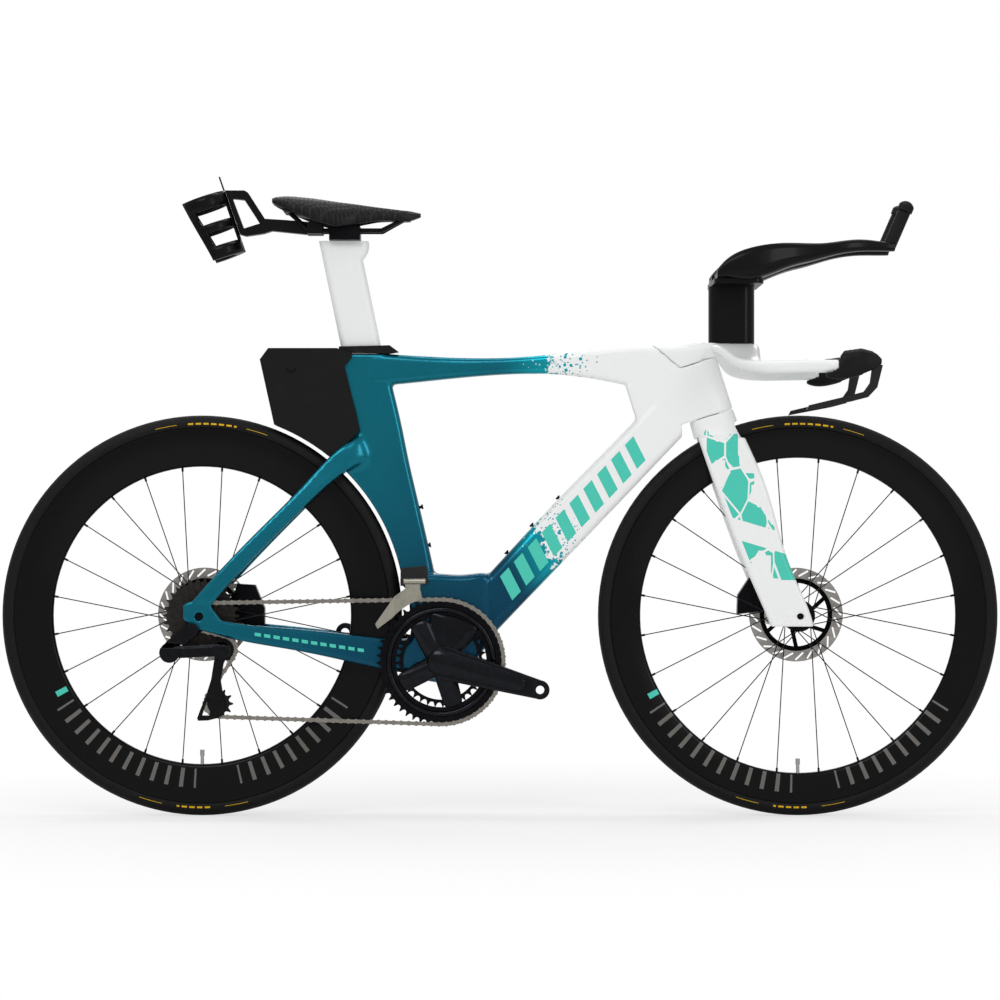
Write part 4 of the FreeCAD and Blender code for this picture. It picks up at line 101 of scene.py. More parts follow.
class Term:
    """Shader value that adds a math node for each sum, product or comparison that it stands in."""

    def __init__(self, graph: "Graph", socket: Socket) -> None:
        """Keeps the socket and the material that it belongs to."""
        self.graph, self.socket = graph, socket

    def __add__(self, other: "Value") -> "Term":
        """Adds a value."""
        return self.graph.math("ADD", self, other)

    def __sub__(self, other: "Value") -> "Term":
        """Takes a value away."""
        return self.graph.math("SUBTRACT", self, other)

    def __rsub__(self, other: float) -> "Term":
        """Takes this away from a number."""
        return self.graph.math("SUBTRACT", other, self)

    def __mul__(self, other: "Value") -> "Term":
        """Multiplies by a value. Of two masks, this marks what both mark."""
        return self.graph.math("MULTIPLY", self, other)

    def __or__(self, other: "Value") -> "Term":
        """Takes the larger value. Of two masks, this marks what either marks."""
        return self.graph.math("MAXIMUM", self, other)

    def __lt__(self, other: "Value") -> "Term":
        """Marks where this is below a value."""
        return self.graph.math("LESS_THAN", self, other)

    def __gt__(self, other: "Value") -> "Term":
        """Marks where this is above a value."""
        return self.graph.math("GREATER_THAN", self, other)

    def within(self, low: float, high: float) -> "Term":
        """Marks where this lies between two values."""
        return self.graph.math("COMPARE", self, (low + high) / 2, (high - low) / 2)

    def zigzag(self, top: float) -> "Term":
        """Folds this back and forth between nought and a top."""
        return self.graph.math("PINGPONG", self, top)

    def wave(self, rate: float) -> "Term":
        """Gives the sine of this at a rate in radians."""
        return self.graph.math("SINE", self * rate)

    def step(self, low: float, high: float) -> "Term":
        """Rises smoothly from nought at one value to one at another."""
        inputs = {"Value": self, "From Min": low, "From Max": high}
        return self.graph.term("ShaderNodeMapRange", inputs, interpolation_type="SMOOTHSTEP")


Value = Union[float, Term]


class Graph:
    """Shader tree of one material, with short names for the nodes that the finishes use."""

    def __init__(self, name: str) -> None:
        """Starts an empty material.

        Args:
            name: Name of the material.
        """
        self.material = bpy.data.materials.new(name)
        self.material.use_nodes = True
        self.tree = self.material.node_tree
        self.tree.nodes.clear()
        self.place = self.term("ShaderNodeTexCoord", output="Object")
        split = add_node(self.tree, "ShaderNodeSeparateXYZ", {0: self.place})
        self.x, self.y, self.z = (Term(self, socket) for socket in split.outputs)

    def term(self, kind: str, inputs: Optional[dict[Any, Any]] = None, output: Any = 0, **settings: Any) -> Term:
        """Adds a node and gives one of its outputs."""
        return Term(self, add_node(self.tree, kind, inputs, **settings).outputs[output])

    def math(self, operation: str, *values: Value) -> Term:
        """Adds a math node."""
        return self.term("ShaderNodeMath", dict(enumerate(values)), operation=operation)

    def noise(self, size_mm: float, detail: float = 3.0, place: Optional[Term] = None) -> Term:
        """Adds cloudy noise with clouds of a size in millimetres."""
        inputs = {"Vector": place or self.place, "Scale": MILLIMETRES / size_mm, "Detail": detail}
        return self.term("ShaderNodeTexNoise", inputs)

    def cells(self, size_mm: float, place: Optional[Term] = None, **settings: Any) -> tuple[Term, list[Term]]:
        """Adds a cell pattern.

        Args:
            size_mm: Size of one cell in millimetres.
            place: Coordinates, or the object's own.
            **settings: Attributes of the node.

        Returns:
            Distance from each cell's middle, and three random numbers for each cell.
        """
        inputs = {"Vector": place or self.place, "Scale": MILLIMETRES / size_mm}
        cell = add_node(self.tree, "ShaderNodeTexVoronoi", inputs, **settings)
        draws = add_node(self.tree, "ShaderNodeSeparateColor", {0: cell.outputs["Color"]})
        return Term(self, cell.outputs["Distance"]), [Term(self, socket) for socket in draws.outputs]

    def blend(self, share: Value, first: Union[Colour, Term], second: Union[Colour, Term]) -> Term:
        """Mixes two colours by the share of the second."""
        return self.term("ShaderNodeMix", {0: share, 6: first, 7: second}, output=2, data_type="RGBA")

    def tint(self, share: Value, first: str, second: str) -> Term:
        """Mixes two hex colours by the share of the second."""
        return self.blend(share, linear(first), linear(second))

    def polar(self, centre: Spot) -> tuple[Term, Term]:
        """Gives distance and angle about an axle.

        Args:
            centre: Forward and up place of the axle.

        Returns:
            Distance in metres and angle in degrees, forward being nought and up ninety.
        """
        forward, up = self.x - centre[0], self.z - centre[1]
        angle = self.math("DEGREES", self.math("ARCTAN2", up, forward))
        return self.math("SQRT", forward * forward + up * up), angle

    def bump(self, height: Term, depth_mm: float, strength: float = 1.0, edge_mm: float = 0.0) -> Term:
        """Turns a height into a bumpy normal, over edges that catch light as rounded ones do.

        Args:
            height: Height from nought to one.
            depth_mm: Depth of the relief in millimetres.
            strength: Strength of the relief.
            edge_mm: Radius of the worn edges in millimetres.

        Returns:
            The normal.
        """
        inputs = {"Height": height, "Distance": depth_mm / MILLIMETRES, "Strength": strength}
        if edge_mm:
            inputs["Normal"] = self.term("ShaderNodeBevel", {"Radius": edge_mm / MILLIMETRES}, samples=4)
        return self.term("ShaderNodeBump", inputs)

    def finish(self, **inputs: Any) -> Material:
        """Closes the tree with a principled shader.

        Args:
            **inputs: Socket names, with underscores for spaces, and their values.

        Returns:
            The finished material.
        """
        named = {name.replace("_", " "): value for name, value in inputs.items()}
        shader = self.term("ShaderNodeBsdfPrincipled", named)
        add_node(self.tree, "ShaderNodeOutputMaterial", {"Surface": shader})
        return self.material


class Zone(Enum):
    """Colour layout of a painted piece."""

    FADE = "fade"
    PEARL = "pearl"
    FACETS = "facets"


@dataclass(frozen=True)
class Paint:
    """Clear-coated frame paint: deep teal flake that breaks into pearl white through a splattered band."""

    zone: Zone
    deep: str = "#003a58"
    teal: str = "#006a7d"
    bright: str = "#0a9fb0"
    flake: str = "#3ec4d0"
    speck: str = "#b9ece8"
    pearl: str = "#f8f9f9"
    shade: str = "#f0f2f3"
    top_border: float = 0.086
    down_border: float = 0.080
    border_height: float = 0.457
    border_lean: float = 0.55
    top_from: float = 0.62
    teal_range: Spot = (0.3, 0.9)
    ragged: float = 0.13
    drops_mm: tuple[Spot, ...] = ((9.0, 0.085), (4.2, 0.11))
    drop_size: float = 0.33
    drop_share: float = 0.75
    speck_mm: float = 5.0
    speck_size: float = 0.3
    speck_share: float = 0.4
    bar_start: Spot = (-0.0056, 0.3678)
    bar_way: Spot = (0.689, 0.7246)
    bar_slant: float = -0.35
    bar_pitch: float = 0.034
    bar_width: float = 0.021
    bar_band: Spot = (-0.021, 0.022)
    bar_span: Spot = (0.017, 0.357)
    stay_line: Spot = (0.158, 0.2445)
    stay_span: Spot = (-0.412, -0.226)
    tick_half: float = 0.0078
    tick_mark: float = 0.0052
    tick_height: float = 0.0028
    facet_mm: float = 34.0
    facet_share: float = 0.62
    facet_squash: float = 0.62
    facet_gap: float = 0.035
    blade_line: Spot = (0.385, 0.622)
    blade_band: Spot = (-0.036, 0.034)
    blade_span: Spot = (0.40, 0.655)
    bare_band: Spot = (0.588, 0.622)

    def build(self) -> Material:
        """Builds the paint.

        Returns:
            The painted material.
        """
        graph = Graph(f"lacquered_{self.zone.value}_paint")
        cloud = graph.noise(160.0, 2.0)
        metal: Value = 0.0
        if self.zone is Zone.FADE:
            colour, metal = self._fade(graph, cloud)
        elif self.zone is Zone.FACETS:
            colour = self._facets(graph)
        else:
            colour = graph.tint(cloud, self.pearl, self.shade)
        rough = graph.noise(35.0) * 0.08 + 0.22
        peel = graph.bump(graph.noise(2.2, 1.0), 0.02, 0.12)
        return graph.finish(Base_Color=colour, Metallic=metal, Roughness=rough, Normal=peel, Coat_Weight=0.12,
                            Coat_Roughness=0.04, Specular_IOR_Level=0.22)

    def _fade(self, graph: Graph, cloud: Term) -> tuple[Term, Term]:
        """Lays out the teal, the splattered band and the pearl front.

        Args:
            graph: Material to add to.
            cloud: Slow colour variation.

        Returns:
            The colour and the metallic share.
        """
        _, flakes = graph.cells(0.9)
        down = graph.x - self.down_border + (graph.z - self.border_height) * self.border_lean
        top = graph.x - self.top_border
        past = graph.term("ShaderNodeMix", {0: graph.z > self.top_from, 2: down, 3: top})
        tone = (cloud - 0.5) * 0.2 + graph.z - graph.x * 0.8
        teal = graph.tint(tone.step(*self.teal_range), self.deep, self.teal)
        teal = graph.blend(flakes[0] * 0.045, teal, linear(self.flake))
        teal = graph.blend(past.step(-0.095, 0.0), teal, linear(self.bright))
        white = ((graph.noise(15.0, 6.0) - 0.5) * self.ragged + past).step(-0.004, 0.004)
        drops = None
        for size, reach in self.drops_mm:
            far, chances = graph.cells(size)
            likely = chances[0] < (1.0 - past.step(-0.01, reach)) * self.drop_share
            drop = (far < self.drop_size) * likely
            drops = drops | drop if drops else drop
        far, chances = graph.cells(self.speck_mm)
        pale = (chances[1] < past.step(-0.07, 0.0) * self.speck_share) * (far < self.speck_size)
        teal = graph.blend(pale, teal, linear(self.speck))
        colour = graph.blend(white, teal, graph.tint(drops, self.pearl, self.bright))
        marks = self._marks(graph)
        return graph.blend(marks, colour, linear(MINT)), (1.0 - (white | marks)) * 0.7

    def _marks(self, graph: Graph) -> Term:
        """Marks the slanted mint bars along the down tube and the fine ticks on the chainstays.

        Args:
            graph: Material to add to.

        Returns:
            One on a mark and nought elsewhere.
        """
        forward, up = graph.x - self.bar_start[0], graph.z - self.bar_start[1]
        across = up * self.bar_way[0] - forward * self.bar_way[1]
        slanted = forward * self.bar_way[0] + up * self.bar_way[1] + across * self.bar_slant
        bars = slanted.zigzag(self.bar_pitch / 2) < self.bar_width / 2
        bars = bars * across.within(*self.bar_band) * slanted.within(*self.bar_span)
        slope, height = self.stay_line
        line = graph.z + graph.x * slope - height
        ticks = (graph.x + 0.5).zigzag(self.tick_half) < self.tick_mark
        ticks = ticks * line.within(-self.tick_height, self.tick_height) * graph.x.within(*self.stay_span)
        return bars | ticks

    def _facets(self, graph: Graph) -> Term:
        """Lays angular mint facets over the pearl of the fork blades.

        Args:
            graph: Material to add to.

        Returns:
            The colour.
        """
        flat = graph.term("ShaderNodeCombineXYZ", {0: graph.x, 2: graph.z * self.facet_squash})
        _, chances = graph.cells(self.facet_mm, flat, distance="MANHATTAN")
        inputs = {"Vector": flat, "Scale": MILLIMETRES / self.facet_mm}
        edge = graph.term("ShaderNodeTexVoronoi", inputs, "Distance", feature="DISTANCE_TO_EDGE")
        facet = (chances[0] < self.facet_share) * (edge > self.facet_gap)
        slope, foot = self.blade_line
        facet = facet * (graph.x + graph.z * slope - foot).within(*self.blade_band)
        bare = (graph.x * 0.3 + graph.z).within(*self.bare_band)
        facet = facet * (1.0 - bare) * graph.z.within(*self.blade_span)
        return graph.tint(facet, self.pearl, MINT)


@dataclass(frozen=True)
class Carbon:
    """Satin black carbon: fine crossed weave under a thin lacquer, with plain marks round a rim."""

    name: str
    centre: Optional[Spot] = None
    mark_radius: Spot = (0.0, 0.0)
    base: str = "#040405"
    weave: str = "#0a0a0b"
    mark: str = "#6f6c69"
    gloss: float = 0.3
    shine: float = 0.12
    weave_rate: float = 2800.0
    bar_spans: tuple[Spot, Spot] = ((-147.0, -92.0), (-77.0, -32.0))
    bar_half_pitch: float = 2.5
    bar_half: float = 0.7
    dash_span: Spot = (-152.5, -150.5)
    dash_short: float = 0.012

    def build(self) -> Material:
        """Builds the carbon.

        Returns:
            The carbon material.
        """
        graph = Graph(self.name)
        weave = (graph.x + graph.z).wave(self.weave_rate) * (graph.x - graph.z).wave(self.weave_rate)
        colour = graph.tint(weave * 0.12 + 0.3, self.base, self.weave)
        if self.centre:
            colour = self._marked(graph, colour)
        rough = graph.noise(22.0) * 0.14 + (self.gloss - 0.07)
        return graph.finish(Base_Color=colour, Roughness=rough, Normal=graph.bump(weave, 0.015, 0.1, 1.2),
                            Coat_Weight=0.06, Coat_Roughness=0.1, Specular_IOR_Level=self.shine)

    def _marked(self, graph: Graph, colour: Term) -> Term:
        """Lays plain grey bars along the lower half of the rim, and one short mint dash before them.

        Args:
            graph: Material to add to.
            colour: Colour under the marks.

        Returns:
            The marked colour.
        """
        radius, angle = graph.polar(self.centre)
        low, high = self.mark_radius
        first, second = self.bar_spans
        bars = (angle - first[0]).zigzag(self.bar_half_pitch) < self.bar_half
        bars = bars * radius.within(low, high) * (angle.within(*first) | angle.within(*second))
        dash = radius.within(low, high - self.dash_short) * angle.within(*self.dash_span)
        return graph.blend(dash, graph.blend(bars, colour, linear(self.mark)), linear(MINT))


@dataclass(frozen=True)
class TyreRubber:
    """Dull black tyre rubber: fine filed tread, cloth sidewall, and yellow lines and dashes beside the rim."""

    name: str
    centre: Spot
    # lighter rubber tone, used for random patches and over the whole tread
    base: str = "#060607"
    pale_rubber: str = "#121213"
    yellow: str = "#e2b417"
    tread_half: float = 0.0105
    lines: tuple[Spot, ...] = ((70.0, 76.5), (97.5, 104.0), (-109.0, -102.0), (-83.0, -76.0))
    dashes: tuple[Spot, ...] = ((79.5, 94.5), (-97.5, -87.0))
    line_radius: Spot = (0.3243, 0.3251)
    dash_radius: Spot = (0.3232, 0.3262)
    dash_half_pitch: float = 1.15
    dash_half: float = 0.8

    def build(self) -> Material:
        """Builds the rubber.

        Returns:
            The tyre material.
        """
        graph = Graph(self.name)
        radius, angle = graph.polar(self.centre)
        tread = graph.math("ABSOLUTE", graph.y) < self.tread_half
        # random patches and the whole tread are drawn lighter than the sidewall
        colour = graph.tint(graph.noise(26.0, 5.0) * 0.5 + tread * 0.28, self.base, self.pale_rubber)
        spans = angle.within(*self.lines[0])
        for span in self.lines[1:]:
            spans = spans | angle.within(*span)
        marks = radius.within(*self.line_radius) * spans
        for low, high in self.dashes:
            dash = ((angle - low).zigzag(self.dash_half_pitch) < self.dash_half) * angle.within(low, high)
            marks = marks | radius.within(*self.dash_radius) * dash
        colour = graph.blend(marks, colour, linear(self.yellow))
        cord = graph.math("SINE", radius * 3000.0 + angle * 16.0)
        height = cord * 0.35 + tread * angle.wave(95.0) * 0.4
        return graph.finish(Base_Color=colour, Roughness=graph.noise(8.0) * 0.2 + 0.5,
                            Normal=graph.bump(height, 0.12, 0.35), Specular_IOR_Level=0.2)


@dataclass(frozen=True)
class Metal:
    """Machined metal: brushed streaks, slight tint from piece to piece and a little grime."""

    name: str
    base: str
    dark: str
    rough: float = 0.3
    centre: Optional[Spot] = None
    carrier_radius: float = 0.0
    carrier: str = "#0d0d0e"
    edge_mm: float = 0.0
    streak: Triple = (0.08, 1.0, 1.0)

    def build(self) -> Material:
        """Builds the metal.

        Returns:
            The metal material.
        """
        graph = Graph(self.name)
        island = graph.term("ShaderNodeNewGeometry", output="Random Per Island")
        colour = graph.tint(graph.noise(9.0, 4.0) * 0.6 + island * 0.25, self.base, self.dark)
        if self.centre:
            radius, _ = graph.polar(self.centre)
            streak = graph.noise(1.2, 2.0, graph.term("ShaderNodeCombineXYZ", {0: radius}))
            colour = graph.blend(radius < self.carrier_radius, colour, linear(self.carrier))
        else:
            inputs = {0: graph.place, 1: self.streak}
            streak = graph.noise(1.5, 2.0, graph.term("ShaderNodeVectorMath", inputs, operation="MULTIPLY"))
        return graph.finish(Base_Color=colour, Metallic=1.0, Roughness=streak * 0.18 + (self.rough - 0.09),
                            Normal=graph.bump(streak, 0.02, 0.15, self.edge_mm))


@dataclass(frozen=True)
class Plastic:
    """Moulded black plastic or rubber: fine spark grain, faint scuffs and an uneven sheen."""

    name: str
    base: str = "#0f0f10"
    worn: str = "#1b1b1c"
    rough: float = 0.45
    grain_mm: float = 0.7
    depth_mm: float = 0.06
    ribs_mm: float = 0.0
    shine: float = 0.16
    notch: Optional[Triple] = None
    # colour of the painted shadow in the finger notch
    recess_shade: str = "#030303"
    rib_way: Spot = (0.3976, 0.9176)
    notch_lift: float = 0.6

    def build(self) -> Material:
        """Builds the plastic.

        Returns:
            The plastic material.
        """
        graph = Graph(self.name)
        colour = graph.tint(graph.noise(30.0, 6.0).step(0.5, 0.8), self.base, self.worn)
        height = graph.noise(self.grain_mm, 2.0)
        if self.ribs_mm:
            along = graph.x * self.rib_way[0] + graph.z * self.rib_way[1]
            height = along.wave(2 * MILLIMETRES * math.pi / self.ribs_mm)
        if self.notch:
            # painted shadow: a near-black crescent is painted inside the finger notch
            colour = graph.blend(self._crescent(graph), colour, linear(self.recess_shade))
        return graph.finish(Base_Color=colour, Roughness=graph.noise(5.0) * 0.16 + (self.rough - 0.08),
                            Normal=graph.bump(height, self.depth_mm, 0.5, 1.5), Specular_IOR_Level=self.shine)

    def _crescent(self, graph: Graph) -> Term:
        """Marks the crescent of painted shadow in a finger notch.

        Args:
            graph: Material to add to.

        Returns:
            One in the painted shadow of the notch.
        """
        forward, up, reach = self.notch
        radius, _ = graph.polar((forward, up))
        away, _ = graph.polar((forward, up + self.notch_lift * reach))
        return (radius < reach) * (away > reach)


@dataclass(frozen=True)
class Skin:
    """Black saddle cover: open triangular relief printed into a matt skin, with shinier high spots and painted shade
    in the pits.
    """

    name: str = "printed_saddle_skin"
    base: str = "#161618"
    # colour of the painted shade in the pits of the relief
    recess_shade: str = "#070708"
    turns: tuple[float, ...] = (0.0, 60.0, 120.0)
    half_pitch: float = 0.0034
    wall: Spot = (0.0003, 0.0012)
    span: Spot = (-0.40, -0.155)

    def build(self) -> Material:
        """Builds the skin.

        Returns:
            The skin material.
        """
        graph = Graph(self.name)
        angles = [math.radians(turn) for turn in self.turns]
        first, second, third = ((graph.x * math.cos(angle) + graph.y * math.sin(angle)).zigzag(self.half_pitch)
                                for angle in angles)
        low = graph.math("MINIMUM", graph.math("MINIMUM", first, second), third)
        pit = low.step(*self.wall) * graph.x.within(*self.span)
        # the pits are painted darker as painted shade; they are also rougher and sunk by the bump
        return graph.finish(Base_Color=graph.tint(pit, self.base, self.recess_shade), Roughness=pit * 0.3 + 0.42,
                            Normal=graph.bump(graph.noise(0.6) * 0.12 - pit, 0.7, 0.8), Specular_IOR_Level=0.25)


@dataclass(frozen=True)
class Foam:
    """Arm pad cloth: knitted face over foam, dull black with a soft sheen."""

    name: str = "knitted_pad_cloth"
    base: str = "#0e0e0f"
    pale: str = "#262628"
    loop_rates: Spot = (3600.0, 4800.0)

    def build(self) -> Material:
        """Builds the cloth.

        Returns:
            The cloth material.
        """
        graph = Graph(self.name)
        loops = graph.x.wave(self.loop_rates[0]) * graph.y.wave(self.loop_rates[1])
        colour = graph.tint(loops * 0.25 + graph.noise(6.0), self.base, self.pale)
        return graph.finish(Base_Color=colour, Roughness=0.85, Normal=graph.bump(loops, 0.2, 0.5), Sheen_Weight=0.25,
                            Sheen_Roughness=0.5)


@dataclass(frozen=True)
class Floor:
    """Pale matt studio floor with a faint unevenness, which turns to white away from the bike."""

    tone: str = "#f8f8f7"
    shade: str = "#f1f1f0"
    near_white: float = 0.55
    fade: Spot = (0.3, 1.5)

    def build(self) -> Material:
        """Builds the floor.

        Returns:
            The floor material.
        """
        graph = Graph("pale_studio_floor")
        colour = graph.tint(graph.noise(900.0), self.tone, self.shade)
        far = graph.math("SQRT", graph.x * graph.x + graph.y * graph.y).step(*self.fade)
        share = far * (1.0 - self.near_white) + self.near_white
        seen = share * graph.term("ShaderNodeLightPath", output="Is Camera Ray")
        matt = graph.term("ShaderNodeBsdfDiffuse", {"Color": colour})
        white = graph.term("ShaderNodeEmission", {"Color": WHITE})
        mixed = graph.term("ShaderNodeMixShader", {0: seen, 1: matt, 2: white})
        add_node(graph.tree, "ShaderNodeOutputMaterial", {"Surface": mixed})
        return graph.material


class Finishes:
    """Library of the bike's materials, each built once."""

    def __init__(self) -> None:
        """Builds every material of the bike."""
        self.fade = Paint(Zone.FADE).build()
        self.pearl = Paint(Zone.PEARL).build()
        self.facets = Paint(Zone.FACETS).build()
        self.carbon = Carbon("satin_black_carbon").build()
        self.front_rim = Carbon("front_rim_carbon", FRONT_AXLE, (0.270, 0.300), gloss=0.22).build()
        self.rear_rim = Carbon("rear_rim_carbon", REAR_AXLE, (0.260, 0.292), gloss=0.22).build()
        self.front_tyre = TyreRubber("front_tyre_rubber", FRONT_AXLE).build()
        self.rear_tyre = TyreRubber("rear_tyre_rubber", REAR_AXLE).build()
        self.steel = Metal("brushed_chain_steel", "#a7a29b", "#5b5650", 0.32).build()
        self.cogs = Metal("cassette_steel", "#413e3c", "#191817", 0.36).build()
        self.spokes = Metal("black_spoke_steel", "#2a2a2b", "#141415", 0.38).build()
        self.front_rotor = Metal("front_rotor_steel", "#b4b1ad", "#7a7672", 0.3, FRONT_AXLE, 0.062).build()
        self.rear_rotor = Metal("rear_rotor_steel", "#b4b1ad", "#7a7672", 0.3, REAR_AXLE, 0.062).build()
        self.black_alloy = Metal("black_anodised_alloy", "#1d1d20", "#0d0d0f", 0.3, edge_mm=0.8).build()
        self.gloss_alloy = Metal("polished_black_alloy", "#2b2c30", "#121214", 0.16, edge_mm=2.2).build()
        self.grey_alloy = Metal("bead_blasted_alloy", "#b3afa2", "#86837a", 0.34, edge_mm=0.7).build()
        self.silver = Metal("satin_silver_alloy", "#b9babc", "#8d8e90", 0.3).build()
        self.plastic = Plastic("satin_black_plastic").build()
        # the storage box gets a painted shadow in its finger notch
        self.box = Plastic("storage_box_plastic", "#0d0d0d", "#131313", 0.5, 0.5, 0.05,
                           notch=(-0.353, 0.757, 0.0085)).build()
        self.gloss = Plastic("gloss_black_plastic", "#0d0d0f", "#1b1b1e", 0.22, 3.0, 0.01, shine=0.4).build()
        self.rubber = Plastic("black_grip_rubber", "#121213", "#202021", 0.6, 1.0, 0.2, 4.0).build()
        self.skin = Skin().build()
        self.foam = Foam().build()


def dress(material: Material, *nodes: str) -> None:
    """Gives CAD nodes their material.

    Args:
        material: Material of all their faces.
        *nodes: Names of the nodes.
    """
    for node in nodes:
        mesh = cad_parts[node].data
        mesh.materials.clear()
        mesh.materials.append(material)
        mesh.polygons.foreach_set("material_index", [0] * len(mesh.polygons))
        LOG.info("dressed %s with %s", node, material.name)


def read_vertices(mesh: bpy.types.Mesh, field: str = "co") -> np.ndarray:
    """Reads the places or the normals of a mesh's vertices.

    Args:
        mesh: Mesh to read.
        field: Blender's name for what is read.

    Returns:
        Three numbers for each vertex.
    """
    cloud = np.empty(len(mesh.vertices) * 3)
    mesh.vertices.foreach_get(field, cloud)
    return cloud.reshape(-1, 3)


def add_piece(name: str, source: Union[Shape, bpy.types.Mesh], material: Material, body: str,
              nodes: Sequence[str] = (), smooth: bool = True) -> bpy.types.Object:
    """Adds a piece that rides on a body.

    Args:
        name: Name of the piece.
        source: Its mesh, or its vertices in metres and its faces.
        material: Material of the piece.
        body: Body that carries the piece.
        nodes: CAD nodes that the piece stands for.
        smooth: Whether its faces are shaded as one curve.

    Returns:
        The new object.
    """
    mesh = source
    if isinstance(source, tuple):
        mesh = bpy.data.meshes.new(name)
        mesh.from_pydata([tuple(point) for point in source[0]], [], source[1])
        mesh.validate()
    mesh.polygons.foreach_set("use_smooth", [smooth] * len(mesh.polygons))
    mesh.materials.clear()
    mesh.materials.append(material)
    piece = bpy.data.objects.new(name, mesh)
    bpy.context.scene.collection.objects.link(piece)
    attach(piece, body)
    if nodes:
        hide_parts(*nodes)
    LOG.info("built %s with %d faces", name, len(mesh.polygons))
    return piece


def tube_faces(rings: int, points: int) -> list[tuple[int, ...]]:
    """Joins rings of points into a closed skin with capped ends.

    Args:
        rings: Number of rings.
        points: Points in each ring.

    Returns:
        Faces as vertex numbers.
    """
    faces: list[tuple[int, ...]] = []
    for ring in range(rings - 1):
        for point in range(points):
            after = (point + 1) % points
            near, far = ring * points, (ring + 1) * points
            faces.append((near + point, near + after, far + after, far + point))
    faces.append(tuple(reversed(range(points))))
    faces.append(tuple(range((rings - 1) * points, rings * points)))
    return faces


def cut_plate(outline: Sequence[Spot], holes: Sequence[Sequence[Spot]], near: float, far: float) -> Shape:
    """Makes a flat plate with holes, square to the bike's side.

    Args:
        outline: Corners as forward and up.
        holes: Corners of each hole.
        near: Sideways place of one face.
        far: Sideways place of the other face.

    Returns:
        Vertices and faces.
    """
    loops = [list(outline)] + [list(hole) for hole in holes]
    flat = [corner for loop in loops for corner in loop]
    points = np.array([(forward, side, up) for side in (near, far) for forward, up in flat])
    caps = tessellate_polygon([[Vector((forward, 0.0, up)) for forward, up in loop] for loop in loops])
    faces: list[tuple[int, ...]] = [tuple(cap) for cap in caps]
    faces += [tuple(len(flat) + corner for corner in reversed(cap)) for cap in caps]
    start = 0
    for loop in loops:
        for corner in range(len(loop)):
            here, after = start + corner, start + (corner + 1) % len(loop)
            faces.append((here, after, len(flat) + after, len(flat) + here))
        start += len(loop)
    return points, faces


def ring_corners(centre: Spot, radius: float, count: int = 24) -> list[Spot]:
    """Spaces corners evenly round a circle."""
    turns = [2 * math.pi * step / count for step in range(count)]
    return [(centre[0] + radius * math.cos(turn), centre[1] + radius * math.sin(turn)) for turn in turns]


def gathered(shapes: Sequence[Shape]) -> Shape:
    """Puts several shapes into one.

    Args:
        shapes: Vertices and faces of each shape.

    Returns:
        All vertices and all faces.
    """
    faces: list[tuple[int, ...]] = []
    count = 0
    for points, sides in shapes:
        faces += [tuple(count + corner for corner in side) for side in sides]
        count += len(points)
    return np.concatenate([points for points, _ in shapes]), faces


